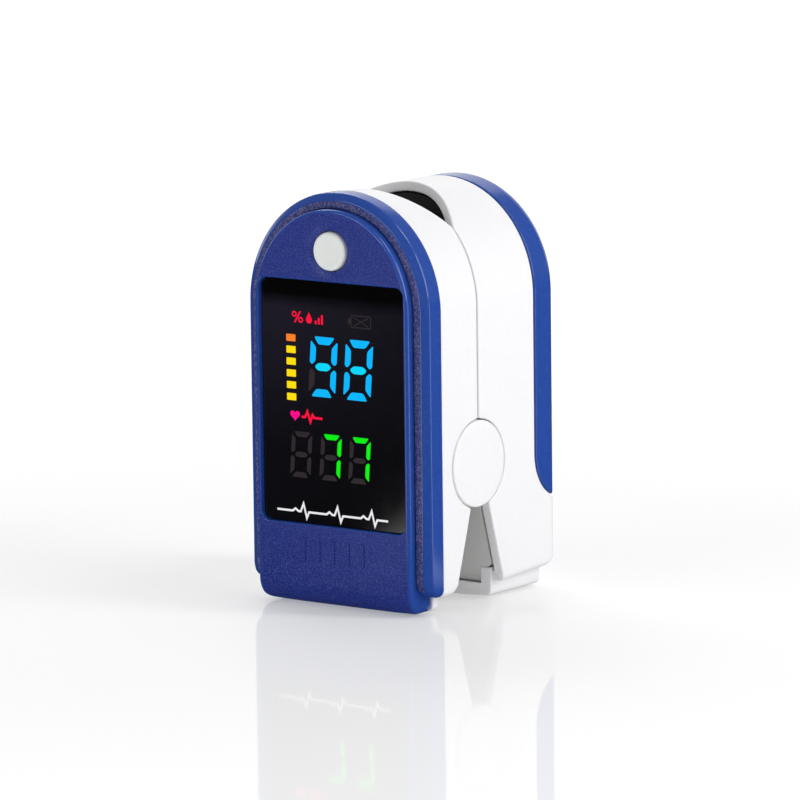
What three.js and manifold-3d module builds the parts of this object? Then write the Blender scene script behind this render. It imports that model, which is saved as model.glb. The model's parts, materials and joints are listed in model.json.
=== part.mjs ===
// Fingertip pulse oximeter: a clip of two half shells on one hinge, with a display and a button
// on the front half, two AAA cells in the rear half and a finger trough between them.
// Millimetres, +Z up. While it is built, y = 0 is the plane where the two halves meet,
// the display faces -Y and z = 0 is the surface that the clip stands on.

import * as THREE from 'three';
import { mergeVertices } from 'three/addons/utils/BufferGeometryUtils.js';
import Module from 'manifold-3d';

const wasm = await Module();
wasm.setup();

// ---------------------------------------------------------------- driving dimensions

const bodyHalfWidth = 15.3;
const springLine = 42.2; // height at which the straight sides turn into the arch
const bodyRise = 15.9; // rise of the arch above the spring line
const bodyCorner = 1.0; // lower corners of the side walls
const bezelProud = 0.2; // how far the front cover stands out around the body
const wall = 1.45;
const gap = 0.15; // running gap between neighbours
const partingGap = 0.15; // each half shell stops this far from y = 0

const pivotHeight = 20.1;
const capRadius = 6.1;
const notchClearance = 0.2; // the shells stay this far from the hinge caps
const pinRadius = 1.0;
const pinClearance = 0.08;
const knuckleRadius = 3.0;
const knuckleClearance = 0.35;

const panelFace = -13.65; // front of the raised display panel
const bandFace = -12.3; // front of the textured band around it
const coverBack = -8.8; // rear edge of the front cover
const rearFace = 19.3; // back of the battery cover
const rearRounding = 2.2;
const coverSeam = 13.85; // front edge of the battery cover
const seamGap = 0.3; // between the battery cover and the rear shell

const frontGapSlope = 0.31; // the two halves leave a V below the hinge
const rearGapSlope = 0.298;
const frontGapStart = -0.05;
const rearGapStart = 0.6;

const footLevel = 2.9; // the inner frames stop a little above this and a narrower foot goes on down
const bandBottom = 2.5;
const frontShellBottom = 2.4;
const rearShellBottom = 2.4;
const hollowCorner = 1.2;
const footHalfWidth = 13.4;
const footCorner = 0.8;
const restHalfWidth = 4.0; // flat middle of the foot
const footSag = 0.3; // how far the foot rises towards its sides

const fingerHalfWidth = 8.6;
const fingerDepthFront = 4.0;
const fingerDepthRear = 4.4;
const fingerEnd = 27.0; // bottom of the finger trough
const padThickness = 0.9;
const troughWall = 1.05;

const mouthHalfWidth = 11.4; // the scoops that let the finger in
const mouthDepthFront = 4.6;
const mouthDepthRear = 5.6;
const scoopStart = 50; // the scoops cut everything above this height

const windowHalfWidth = 12.43;
const windowBottom = 11.7;
const windowTop = 46.0;
const windowCorner = 1.3;
const windowRecess = 0.62;

const buttonHeight = 50.3;
const buttonRadius = 2.7;

const cellRadius = 5.25; // AAA: 10.5 mm across, 44.5 mm long
const cellLength = 44.5;
const cellOffset = 5.4;
const cellDepth = 12.3;

const screwHeights = [28.0, 45.0];

const panelHalfWidth = 13.15; // the raised panel, which runs down into the push tongue
const panelRise = 13.9;
const panelWall = 1.35; // thickness of the panel's and the band's side walls
const bandWall = 1.65;
const tongueCurl = 3.6; // the lower ends of the panel and of the band are rounded backwards
const bandCurl = 2.9;
const buttonProud = 0.3;
const buttonFlange = 0.7; // how far the button's collar stands out behind the panel
const collarThickness = 0.5;
const stemRadius = 1.0;
const stemEnd = -11.35;
const switchTop = -10.75;
const switchHalf = 2.2;
const boardFront = -9.1;
const boardBack = -8.1;
const displayHalfWidth = 9.8;

const coverCorner = 6.67; // lower corner of the battery cover's side flaps
const coverCornerTop = 19.5;
const heelStart = 4; // the rear half's underside rises from here to an arc at the back
const heelRise = 0.6;
const heelRadius = 3.1;
const frontFootBack = -7.4;
const rearFootFront = 5.2;
const rearFootBack = 17.2;
const bayFloor = 2.0;
const bayHalfWidth = 11.75;
const cellBottom = 4.3;
const cellTop = cellBottom + cellLength;
const contactThickness = 0.3;

const fingerEndRise = 7.0; // height of the trough's rounded end
const flareStart = 49.0; // the trough widens above this
const flareEnd = 57.0;
const flare = 2.4;
const sensorHeight = 37.0;
const lensHole = 3.0;
const lensThickness = 1.8;

const frontKnuckles = [7.8, 10.4]; // spans in x, mirrored
const rearKnuckles = [10.7, 13.2];
const springRoom = 4.1;
const capStem = 2.5; // radius of the peg inside each hinge cap

const screwOffset = 11.7;
const screwRadius = 0.7;
const screwHole = 0.85;
const screwTip = -6.8;
const headRadius = 1.25;
const headHole = 1.45;
const headSeat = 0.45; // depth of the screw heads' seats in the frames
const postRadius = 1.5;
const postStart = 2.3;

const archSteps = 12; // facets on half an arch
const cornerSteps = 3;
const sagSteps = 3;

const below = -5; // tools that clear the whole part reach these limits
const above = 80;
const beyond = 40;

// ---------------------------------------------------------------- solids

function solid(geometry) {
  geometry.deleteAttribute('normal');
  geometry.deleteAttribute('uv');
  const merged = mergeVertices(geometry, 1e-5);
  return new wasm.Manifold(new wasm.Mesh({
    numProp: 3,
    vertProperties: new Float32Array(merged.attributes.position.array),
    triVerts: new Uint32Array(merged.index.array),
  }));
}

function join(...parts) {
  return parts.reduce((sum, part) => sum.add(part));
}

function cut(body, ...tools) {
  return tools.reduce((rest, tool) => rest.subtract(tool), body);
}

function common(...parts) {
  return parts.reduce((rest, part) => rest.intersect(part));
}

function geometryOf(body) {
  const mesh = body.getMesh();
  const geometry = new THREE.BufferGeometry();
  geometry.setAttribute('position', new THREE.BufferAttribute(new Float32Array(mesh.vertProperties), 3));
  geometry.setIndex(new THREE.BufferAttribute(new Uint32Array(mesh.triVerts), 1));
  geometry.computeVertexNormals();
  return geometry;
}

function extrude(shape, depth, options = {}) {
  return new THREE.ExtrudeGeometry(shape, { depth, bevelEnabled: false, ...options });
}

function boxBetween(low, high) {
  const size = high.map((value, axis) => value - low[axis]);
  const middle = high.map((value, axis) => (value + low[axis]) / 2);
  return solid(new THREE.BoxGeometry(...size).translate(...middle));
}

// A shape drawn in x and z, running from y = front to y = back.
function slab(shape, front, back) {
  return solid(extrude(shape, back - front).rotateX(Math.PI / 2).translate(0, back, 0));
}

// The same with a chamfer or rounding on one end: side -1 is the front, 1 the back.
function easedSlab(shape, front, back, side, width, depth, bevelSegments) {
  const length = 2 * (back - front);
  const options = {
    bevelEnabled: true,
    bevelSize: width,
    bevelOffset: -width,
    bevelThickness: depth,
    bevelSegments,
  };
  const start = side < 0 ? front + depth + length : back - depth;
  const geometry = extrude(shape, length, options).rotateX(Math.PI / 2);
  const long = solid(geometry.translate(0, start, 0));
  return common(long, boxBetween([-beyond, front, -beyond], [beyond, back, above]));
}

// A side profile drawn in y and z, running from x = left to x = right.
function acrossX(shape, left, right) {
  const turn = new THREE.Matrix4().makeBasis(
    new THREE.Vector3(0, 1, 0),
    new THREE.Vector3(0, 0, 1),
    new THREE.Vector3(1, 0, 0),
  );
  return solid(extrude(shape, right - left).applyMatrix4(turn).translate(left, 0, 0));
}

function cylinderX(radius, left, right, sides = 24) {
  const geometry = new THREE.CylinderGeometry(radius, radius, right - left, sides).rotateZ(Math.PI / 2);
  return solid(geometry.translate((left + right) / 2, 0, pivotHeight));
}

function cylinderY(radius, front, back, x, z, sides = 16) {
  const geometry = new THREE.CylinderGeometry(radius, radius, back - front, sides);
  return solid(geometry.translate(x, (front + back) / 2, z));
}

// A profile of [radius, distance along the axis], turned about the Y axis.
function turned(profile, sides = 24) {
  return new THREE.LatheGeometry(profile.map(([radius, along]) => new THREE.Vector2(radius, along)), sides);
}

function polygon(points) {
  return new THREE.Shape(points.map(([x, y]) => new THREE.Vector2(x, y)));
}

function wire(points, radius, steps, sides) {
  const section = new THREE.Shape();
  section.absarc(0, 0, radius, 0, 2 * Math.PI, false);
  const extrudePath = new THREE.CatmullRomCurve3(points);
  const options = { steps, curveSegments: sides, bevelEnabled: false, extrudePath };
  return solid(new THREE.ExtrudeGeometry(section, options));
}

// ---------------------------------------------------------------- outlines

// Points along an elliptical arc, from one angle to another.
function arc(centreX, centreY, radiusX, radiusY, from, to, steps) {
  const points = [];
  for (let step = 0; step <= steps; step += 1) {
    const angle = from + ((to - from) * step) / steps;
    points.push([centreX + radiusX * Math.cos(angle), centreY + radiusY * Math.sin(angle)]);
  }
  return points;
}

// Closes a right-hand outline with its mirror image in x = 0.
function mirrored(points) {
  const left = points.filter(([x]) => x > 1e-6).map(([x, y]) => [-x, y]).reverse();
  return polygon([...points, ...left]);
}

function archPoints(halfWidth, rise) {
  return arc(0, springLine, halfWidth, rise, 0, Math.PI / 2, archSteps);
}

// Straight sides under an elliptical arch, with rounded lower corners.
function archOutline(halfWidth, rise, bottom, corner = 0.5) {
  const turn = arc(halfWidth - corner, bottom + corner, corner, corner, -Math.PI / 2, 0, cornerSteps);
  return mirrored([...turn, ...archPoints(halfWidth, rise)]);
}

// The body's own outline, drawn in by inset.
function bodyOutline(inset, bottom, corner) {
  return archOutline(bodyHalfWidth - inset, bodyRise - inset, bottom, corner);
}

// The same arch on a foot that is flat in the middle and rises a little towards its corners.
function footOutline(halfWidth, rise, lift, corner) {
  const cornerX = halfWidth - corner;
  const sag = [];
  for (let step = 0; step < sagSteps; step += 1) {
    const share = step / sagSteps;
    sag.push([restHalfWidth + (cornerX - restHalfWidth) * share, lift + footSag * share ** 2]);
  }
  const turn = arc(cornerX, lift + footSag + corner, corner, corner, -Math.PI / 2, 0, cornerSteps + 1);
  return mirrored([...sag, ...turn, ...archPoints(halfWidth, rise)]);
}

function roundedRectangle(halfWidth, bottom, top, corner) {
  const lower = arc(halfWidth - corner, bottom + corner, corner, corner, -Math.PI / 2, 0, cornerSteps);
  const upper = arc(halfWidth - corner, top - corner, corner, corner, 0, Math.PI / 2, cornerSteps);
  return mirrored([...lower, ...upper]);
}

// The two sides of the V below the hinge, in side view.
const frontGapEdge = (z) => frontGapStart - frontGapSlope * (pivotHeight - z);
const rearGapEdge = (z) => rearGapStart + rearGapSlope * (pivotHeight - z);
const frontBend = pivotHeight - (partingGap + frontGapStart) / frontGapSlope;
const rearBend = pivotHeight + (rearGapStart - partingGap) / rearGapSlope;

function frontRegion() {
  return acrossX(polygon([
    [-beyond, above],
    [-beyond, below],
    [frontGapEdge(below), below],
    [-partingGap, frontBend],
    [-partingGap, above],
  ]), -beyond, beyond);
}

function rearRegion() {
  return acrossX(polygon([
    [beyond, above],
    [partingGap, above],
    [partingGap, rearBend],
    [rearGapEdge(below), below],
    [beyond, below],
  ]), -beyond, beyond);
}

// The part of the back that belongs to the battery cover, in side view: its lower corner is an arc.
function coverRegion(offset) {
  const middle = coverSeam + coverCorner;
  const reach = coverCorner + offset;
  const corner = arc(middle, coverCornerTop, reach, reach, Math.PI, 1.5 * Math.PI, 8);
  return acrossX(polygon([
    [coverSeam - offset, above],
    ...corner,
    [beyond, coverCornerTop - reach],
    [beyond, above],
  ]), -beyond, beyond);
}

// The finger's space: a round-ended trough that flares at the mouth, grown by offset.
function fingerSpace(offset, depth) {
  const radius = fingerHalfWidth + offset;
  const bottom = fingerEnd - offset;
  const profile = [[0, bottom]];
  const steps = 5;
  for (let step = 1; step <= steps; step += 1) {
    const angle = (step / steps) * (Math.PI / 2);
    profile.push([radius * Math.sin(angle), bottom + fingerEndRise * (1 - Math.cos(angle))]);
  }
  profile.push([radius, flareStart]);
  profile.push([radius + flare * 0.35, (flareStart + flareEnd) / 2]);
  profile.push([radius + flare, flareEnd]);
  profile.push([radius + flare, above]);
  profile.push([0, above]);
  return solid(turned(profile).rotateX(Math.PI / 2).scale(1, (depth + offset) / radius, 1));
}

// The scoop in the arch, seen from above: a parabola cut towards -Y (side -1) or +Y (side 1).
function mouthScoop(depth, side) {
  const points = [[-mouthHalfWidth - 0.5, -side], [-mouthHalfWidth - 0.5, 0]];
  const steps = 14;
  for (let step = 0; step <= steps; step += 1) {
    const across = (2 * step) / steps - 1;
    points.push([mouthHalfWidth * across, side * depth * (1 - across ** 2)]);
  }
  points.push([mouthHalfWidth + 0.5, 0], [mouthHalfWidth + 0.5, -side]);
  return solid(extrude(polygon(points), above - scoopStart).translate(0, 0, scoopStart));
}

// ---------------------------------------------------------------- finishes

function finish(color, roughness, metalness = 0) {
  return new THREE.MeshStandardMaterial({ color, roughness, metalness });
}

const bluePlastic = () => finish(0x26349a, 0.42);
const whitePlastic = () => finish(0xf4f4f5, 0.35);
const innerPlastic = () => finish(0xd9d9dc, 0.5);
const silicone = () => finish(0x0b0b0c, 0.7);
const smokedPlastic = () => finish(0x0d0b12, 0.12);
const lensPlastic = () => finish(0x5a1520, 0.15);
const steel = () => finish(0xb9bcc0, 0.3, 1);
const contactMetal = () => finish(0xcfd2d4, 0.25, 1);
const circuitBoard = () => finish(0x1c5a36, 0.55);
const blackPlastic = () => finish(0x161618, 0.5);
const copperFilm = () => finish(0xb5702f, 0.4);
const cellJacket = () => finish(0x3a3d42, 0.35, 0.4);

const sides = [-1, 1];

// ---------------------------------------------------------------- front half

const bezelHalfWidth = bodyHalfWidth + bezelProud;
const bezelRise = bodyRise + bezelProud;
const plateBack = panelFace + wall;
const bandBack = bandFace + wall;
const cradleInset = wall + 0.25;
const flangeNear = 0.3; // each cradle's flange lies between these distances from y = 0
const flangeFar = 1.7;

function atScrews(shape) {
  const placed = [];
  for (const side of sides) {
    for (const height of screwHeights) {
      placed.push(shape(side * screwOffset, height));
    }
  }
  return join(...placed);
}

function screwPilots(front, back) {
  return atScrews((x, z) => cylinderY(screwHole, front, back, x, z, 10));
}

// Everything behind a face whose lower end is rounded backwards.
function behindCurl(face, bottom, radius) {
  const curl = arc(face + radius, bottom + radius, radius, radius, Math.PI, 1.5 * Math.PI, 5);
  return acrossX(polygon([[face, above], ...curl, [beyond, bottom], [beyond, above]]), -beyond, beyond);
}

function frontCover() {
  const corner = 1.0;
  const bandOutline = archOutline(bezelHalfWidth, bezelRise, bandBottom, corner);
  const band = common(
    easedSlab(bandOutline, bandFace, coverBack, -1, 0.9, 0.7, 1),
    behindCurl(bandFace, bandBottom, bandCurl),
  );
  const panelOutline = footOutline(panelHalfWidth, panelRise, 0, corner);
  const panel = common(
    easedSlab(panelOutline, panelFace, coverBack, -1, 0.5, 0.45, 2),
    behindCurl(panelFace, 0, tongueCurl),
  );
  const floor = tongueCurl + 1.4;
  const panelInside = archOutline(panelHalfWidth - panelWall, panelRise - panelWall, floor, corner);
  const bandInside = archOutline(bezelHalfWidth - bandWall, bezelRise - bandWall, floor, corner);
  const windowOutline = roundedRectangle(windowHalfWidth, windowBottom, windowTop, windowCorner);
  const hollowed = cut(
    join(band, panel),
    slab(panelInside, plateBack, 0),
    slab(bandInside, bandBack, 0),
    slab(windowOutline, -beyond, plateBack),
    cylinderY(buttonRadius + gap, -beyond, 0, 0, buttonHeight, 24),
  );
  const posts = atScrews((x, z) => cylinderY(postRadius, bandBack - 0.5, -postStart, x, z, 12));
  return cut(join(hollowed, posts), screwPilots(coverBack + 0.6, 0));
}

function displayWindow() {
  const outline = roundedRectangle(
    windowHalfWidth - gap,
    windowBottom + gap,
    windowTop - gap,
    windowCorner - gap,
  );
  return slab(outline, panelFace + windowRecess, plateBack - 0.1);
}

function powerButton() {
  const crown = panelFace - buttonProud;
  const flange = buttonRadius + buttonFlange;
  const collar = plateBack + 0.1;
  return solid(turned([
    [0, crown],
    [buttonRadius * 0.6, crown + 0.06],
    [buttonRadius - 0.25, crown + 0.18],
    [buttonRadius, crown + 0.5],
    [buttonRadius, collar],
    [flange, collar],
    [flange, collar + collarThickness],
    [stemRadius, collar + collarThickness],
    [stemRadius, stemEnd],
    [0, stemEnd],
  ]).translate(0, 0, buttonHeight));
}

function buttonSwitch() {
  const low = [-switchHalf, switchTop + 0.3, buttonHeight - switchHalf];
  const high = [switchHalf, boardFront - 0.1, buttonHeight + switchHalf];
  return join(boxBetween(low, high), cylinderY(stemRadius, switchTop, switchTop + 1, 0, buttonHeight));
}

function ledDisplay() {
  const low = [-displayHalfWidth, plateBack + 0.5, windowBottom + 1.3];
  const high = [displayHalfWidth, boardFront - gap, windowTop - 1.5];
  return boxBetween(low, high);
}

function mainBoard() {
  return slab(archOutline(10, 12.6, 5, 1), boardFront, boardBack);
}

function controllerChip() {
  return boxBetween([-3.5, boardBack + 0.1, 12.5], [3.5, boardBack + 1.1, 19.5]);
}

// The foot under one shell, from the ground up into the shell.
function footBlock(lift, top, front, back) {
  const outline = footOutline(footHalfWidth, panelRise, lift, footCorner);
  return common(slab(outline, front, back), boxBetween([-beyond, front, below], [beyond, back, top]));
}

const hingeNotch = () => cylinderX(capRadius + notchClearance, -beyond, beyond, 40);

function frontShell() {
  const front = coverBack + gap;
  const ring = slab(bodyOutline(0, frontShellBottom, bodyCorner), front, 0);
  const hollow = slab(bodyOutline(wall, footLevel + 1.5, hollowCorner), -beyond, 1);
  const heel = acrossX(polygon([
    [-6.2, below],
    [-6.2, frontShellBottom],
    [-5.2, frontShellBottom + 0.6],
    [0, frontShellBottom + 0.6],
    [0, below],
  ]), -beyond, beyond);
  const walls = common(cut(ring, hollow), frontRegion());
  const shell = cut(walls, heel, hingeNotch(), mouthScoop(mouthDepthFront, -1));
  return join(shell, footBlock(0, footLevel + 1.2, front, frontFootBack));
}

const troughInner = padThickness + gap;
const troughOuter = troughInner + troughWall;

// The finger's space grown by offset, kept to one side of the parting plane and inside the shell.
function trough(offset, depth, side) {
  const near = side < 0 ? [-beyond, -beyond, 0] : [-beyond, flangeNear, 0];
  const far = side < 0 ? [beyond, -flangeNear, above] : [beyond, beyond, above];
  const inside = slab(bodyOutline(cradleInset, 10), -beyond, beyond);
  return common(fingerSpace(offset, depth), boxBetween(near, far), inside);
}

function hingeHole() {
  return cylinderX(pinRadius + pinClearance, -beyond, beyond);
}

function bothSidesX(radius, inner, outer) {
  const right = cylinderX(radius, inner, outer);
  const left = cylinderX(radius, -outer, -inner);
  return join(left, right);
}

const springClearance = () => cylinderX(springRoom, -springRoom, springRoom);
const flexSlot = () => boxBetween([-3.2, -3, 23], [3.2, 3, 24.6]);

function lensRoom(side) {
  return side < 0
    ? cylinderY(lensHole, -beyond, 0, 0, sensorHeight)
    : cylinderY(lensHole, 0, beyond, 0, sensorHeight);
}

function frontCradle() {
  const half = bodyHalfWidth - cradleInset;
  const foot = footLevel + 1.7;
  const bend = pivotHeight - (flangeNear + frontGapStart) / frontGapSlope;
  const lever = acrossX(polygon([
    [-flangeNear, bend + 3],
    [-flangeNear, bend],
    [frontGapEdge(foot), foot],
    [frontGapEdge(foot) - wall, foot],
    [-flangeFar, bend],
    [-flangeFar, bend + 3],
  ]), -half, half);
  const inside = slab(bodyOutline(cradleInset, foot, hollowCorner), -beyond, beyond);
  const flange = slab(bodyOutline(cradleInset, bend), -flangeFar, -flangeNear);
  const knuckles = bothSidesX(knuckleRadius, ...frontKnuckles);
  const frame = join(flange, common(lever, inside), trough(troughOuter, fingerDepthFront, -1), knuckles);
  return cut(
    frame,
    fingerSpace(troughInner, fingerDepthFront),
    hingeHole(),
    bothSidesX(knuckleRadius + knuckleClearance, rearKnuckles[0] - gap, beyond),
    springClearance(),
    flexSlot(),
    lensRoom(-1),
    screwPilots(screwTip, 0),
    atScrews((x, z) => cylinderY(headHole, headSeat - flangeFar, 0, x, z)),
  );
}

function fingerPad(depth, side) {
  return cut(trough(padThickness, depth, side), fingerSpace(0, depth), lensRoom(side));
}

function lens(depth, side) {
  const near = side * (depth + gap);
  const far = side * (depth + gap + lensThickness);
  return cylinderY(lensHole - gap, Math.min(near, far), Math.max(near, far), 0, sensorHeight);
}

function ledEmitter() {
  const half = 2.5;
  const low = [-half, boardBack + 0.1, sensorHeight - half];
  const high = [half, -fingerDepthFront - 2.2, sensorHeight + half];
  return boxBetween(low, high);
}

// A self-tapping screw whose head lies near the parting plane, driven towards -Y.
function screw(x, z, side) {
  const geometry = turned([
    [0, screwTip],
    [screwRadius * 0.4, screwTip + 0.1],
    [screwRadius, screwTip + 0.7],
    [screwRadius, -1.15],
    [headRadius, -1.15],
    [headRadius, -0.75],
    [headRadius - 0.3, -0.5],
    [0, -0.5],
  ], 10);
  if (side > 0) {
    geometry.rotateX(Math.PI);
  }
  return solid(geometry.translate(x, 0, z));
}

// ---------------------------------------------------------------- rear half

const railInset = wall + 0.3; // a rail inside the seam, which the battery cover slides along

// Everything below the rear half's underside.
function belowHeel() {
  const start = rearFace + 0.1 - heelRadius;
  const low = rearShellBottom + heelRise;
  const corner = arc(start, low + heelRadius, heelRadius, heelRadius, -Math.PI / 2, 0, 4);
  return acrossX(polygon([
    [heelStart, below],
    [heelStart, rearShellBottom],
    ...corner,
    [beyond, low + heelRadius],
    [beyond, below],
  ]), -beyond, beyond);
}

// The body's back end, with its edge rounded; it runs on below the ground.
function roundedBack() {
  const outline = bodyOutline(0, 2 * below, rearRounding + 0.3);
  return easedSlab(outline, coverSeam - 1.3, rearFace, 1, rearRounding, rearRounding, 3);
}

function rearShell() {
  const seam = coverSeam - seamGap;
  const outline = bodyOutline(0, rearShellBottom, bodyCorner);
  const ring = slab(outline, 0, seam);
  const rails = slab(bodyOutline(railInset, 10, 0.8), seam - 1.5, rearFace - wall - 0.4);
  const back = cut(common(roundedBack(), slab(outline, seam - 1, rearFace)), coverRegion(seamGap));
  const closed = join(ring, rails, back);
  const outer = cut(common(closed, rearRegion()), belowHeel());
  const endRib = boxBetween(
    [-10.2, cellDepth - cellRadius + 0.3, cellTop + 0.6],
    [10.2, rearFootBack + 0.2, cellTop + 1.8],
  );
  const hollow = slab(bodyOutline(wall, footLevel + 1.3, hollowCorner), -1, seam - 1.5);
  const bay = slab(bodyOutline(railInset + wall, coverCornerTop - 5, hollowCorner), seam - 2, beyond);
  const lowerOutline = bodyOutline(railInset + wall, footLevel + 1.3, hollowCorner);
  const lowerBay = slab(lowerOutline, seam - 2, rearFace - wall);
  const footBay = boxBetween(
    [-bayHalfWidth, 0, bayFloor],
    [bayHalfWidth, rearFootBack - 0.9, footLevel + 2],
  );
  const shell = cut(
    join(outer, footBlock(0, footLevel + 1.5, rearFootFront, rearFootBack)),
    hollow,
    bay,
    lowerBay,
    footBay,
    hingeNotch(),
    mouthScoop(mouthDepthRear, 1),
  );
  const postEnd = 8;
  const posts = atScrews((x, z) => {
    const outerX = Math.sign(x) * (bodyHalfWidth - 1.1);
    const low = [Math.min(x, outerX), postStart, z - 0.8];
    const high = [Math.max(x, outerX), postEnd, z + 0.8];
    return join(cylinderY(postRadius, postStart, postEnd, x, z, 12), boxBetween(low, high));
  });
  return cut(join(shell, posts, endRib), screwPilots(0, postEnd - 0.6));
}

function batteryCover() {
  const hollow = slab(bodyOutline(wall, 2 * below), 0, rearFace - wall);
  return common(cut(roundedBack(), hollow), coverRegion(0));
}

function rearCradle() {
  const half = bodyHalfWidth - cradleInset;
  const foot = footLevel + 1.5;
  const bend = pivotHeight + (rearGapStart - flangeNear) / rearGapSlope;
  const lever = acrossX(polygon([
    [flangeNear, bend + 3],
    [flangeFar, bend + 3],
    [flangeFar + 0.2, bend],
    [rearGapEdge(foot) + wall, foot],
    [rearGapEdge(foot), foot],
    [flangeNear, bend],
  ]), -half, half);
  const inside = slab(bodyOutline(cradleInset, foot, hollowCorner), -beyond, beyond);
  const toe = bayFloor + 0.15;
  const tab = acrossX(polygon([
    [rearGapEdge(foot + 1), foot + 1],
    [rearGapEdge(foot + 1) + wall, foot + 1],
    [rearGapEdge(toe) + wall, toe],
    [rearGapEdge(toe), toe],
  ]), gap - bayHalfWidth, bayHalfWidth - gap);
  const flange = slab(bodyOutline(cradleInset, bend), flangeNear, flangeFar);
  const knuckles = bothSidesX(knuckleRadius, ...rearKnuckles);
  const frame = join(flange, common(lever, inside), tab, trough(troughOuter, fingerDepthRear, 1), knuckles);
  return cut(
    frame,
    fingerSpace(troughInner, fingerDepthRear),
    hingeHole(),
    bothSidesX(knuckleRadius + knuckleClearance, frontKnuckles[0] - gap, frontKnuckles[1] + gap),
    bothSidesX(capStem + knuckleClearance, rearKnuckles[1], beyond),
    springClearance(),
    flexSlot(),
    lensRoom(1),
    screwPilots(0, -screwTip),
    atScrews((x, z) => cylinderY(headHole, 0, flangeFar - headSeat, x, z)),
  );
}

function photodiode() {
  const front = fingerDepthRear + 2.35;
  return boxBetween([-2.2, front, sensorHeight - 3], [2.2, front + 0.8, sensorHeight + 3]);
}

// An AAA cell standing in the bay: nub 1 points up, nub -1 points down.
function cell(nub) {
  const nubLength = 1.2;
  const shoulder = cellLength - nubLength;
  const geometry = turned([
    [0, 0],
    [cellRadius - 0.5, 0],
    [cellRadius, 0.4],
    [cellRadius, shoulder - 0.4],
    [cellRadius - 0.5, shoulder],
    [1.9, shoulder],
    [1.9, cellLength],
    [0, cellLength],
  ]);
  geometry.rotateX((nub * Math.PI) / 2);
  const start = nub > 0 ? cellBottom : cellTop - nubLength;
  return solid(geometry.translate(-nub * cellOffset, cellDepth, start));
}

function contactPlate(side, bottom) {
  const low = [side * cellOffset - 4, cellDepth - 3, bottom];
  const high = [side * cellOffset + 4, cellDepth + 3, bottom + contactThickness];
  return boxBetween(low, high);
}

function contactSpring(side, low, high) {
  const steps = 36;
  const turns = 3;
  const wireRadius = 0.2;
  const points = [];
  for (let step = 0; step <= steps; step += 1) {
    const share = step / steps;
    const angle = share * turns * 2 * Math.PI;
    const radius = 3.2 - 1.2 * share;
    const x = side * cellOffset + radius * Math.cos(angle);
    const y = cellDepth + radius * Math.sin(angle);
    points.push(new THREE.Vector3(x, y, low + (high - low) * share));
  }
  return wire(points, wireRadius, 40, 2);
}

// ---------------------------------------------------------------- hinge

function hingePin() {
  return cylinderX(pinRadius, -rearKnuckles[1], rearKnuckles[1]);
}

function hingeCap(side) {
  const inner = bodyHalfWidth - wall + 0.05;
  return solid(turned([
    [0, rearKnuckles[1] + gap],
    [capStem, rearKnuckles[1] + gap],
    [capStem, inner],
    [capRadius, inner],
    [capRadius, bodyHalfWidth - 0.15],
    [capRadius - 0.2, bodyHalfWidth + 0.05],
    [0, bodyHalfWidth + 0.12],
  ], 40).rotateZ((-side * Math.PI) / 2).translate(0, 0, pivotHeight));
}

// A coil round the pin whose two legs cross the V and push the lever plates apart.
function torsionSpring() {
  const wireRadius = 0.4;
  const coilRadius = 2.3;
  const halfLength = 2.4;
  const reach = 11;
  const stand = wireRadius + gap;
  const frontTip = new THREE.Vector2(frontGapEdge(pivotHeight - reach) + stand, -reach);
  const rearTip = new THREE.Vector2(rearGapEdge(pivotHeight - reach) - stand, -reach);
  const startAngle = frontTip.angle() + Math.acos(coilRadius / frontTip.length()) - 2 * Math.PI;
  const endAngle = rearTip.angle() - Math.acos(coilRadius / rearTip.length()) + 6 * Math.PI;
  const points = [new THREE.Vector3(-halfLength, frontTip.x, pivotHeight + frontTip.y)];
  const steps = 60;
  for (let step = 0; step <= steps; step += 1) {
    const angle = startAngle + ((endAngle - startAngle) * step) / steps;
    const x = halfLength * ((2 * step) / steps - 1);
    const y = coilRadius * Math.cos(angle);
    const z = pivotHeight + coilRadius * Math.sin(angle);
    points.push(new THREE.Vector3(x, y, z));
  }
  points.push(new THREE.Vector3(halfLength, rearTip.x, pivotHeight + rearTip.y));
  return wire(points, wireRadius, 80, 3);
}

// A flat cable in side view, from the main board over the coil to the photodiode.
function flexCable() {
  const route = new THREE.CatmullRomCurve3([
    [boardBack + 0.25, 26],
    [boardBack + 0.9, 24.4],
    [-3.5, 24],
    [0, 23.6],
    [3.5, 24],
    [6.4, 24.4],
    [7.05, 26],
    [7.05, 33],
  ].map(([y, z]) => new THREE.Vector3(y, z, 0)));
  const half = 0.1;
  const steps = 28;
  const upper = [];
  const lower = [];
  for (let step = 0; step <= steps; step += 1) {
    const point = route.getPoint(step / steps);
    const along = route.getTangent(step / steps);
    upper.push([point.x - along.y * half, point.y + along.x * half]);
    lower.unshift([point.x + along.y * half, point.y - along.x * half]);
  }
  return acrossX(polygon([...upper, ...lower]), -2.8, 2.8);
}

// ---------------------------------------------------------------- assembly

const frontHalf = new THREE.Group();
const buttonGroup = new THREE.Group();
const rearHalf = new THREE.Group();
const batteryDoor = new THREE.Group();

function add(parent, name, body, material) {
  const mesh = new THREE.Mesh(geometryOf(body), material);
  mesh.name = name;
  parent.add(mesh);
}

add(frontHalf, 'front_cover', frontCover(), bluePlastic());
add(frontHalf, 'display_window', displayWindow(), smokedPlastic());
add(buttonGroup, 'power_button', powerButton(), whitePlastic());
add(frontHalf, 'button_switch', buttonSwitch(), blackPlastic());
add(frontHalf, 'led_display', ledDisplay(), blackPlastic());
add(frontHalf, 'main_board', mainBoard(), circuitBoard());
add(frontHalf, 'controller_chip', controllerChip(), blackPlastic());
add(frontHalf, 'front_shell', frontShell(), whitePlastic());
add(frontHalf, 'front_cradle', frontCradle(), innerPlastic());
add(frontHalf, 'front_finger_pad', fingerPad(fingerDepthFront, -1), silicone());
add(frontHalf, 'emitter_window', lens(fingerDepthFront, -1), lensPlastic());
add(frontHalf, 'led_emitter', ledEmitter(), blackPlastic());

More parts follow.
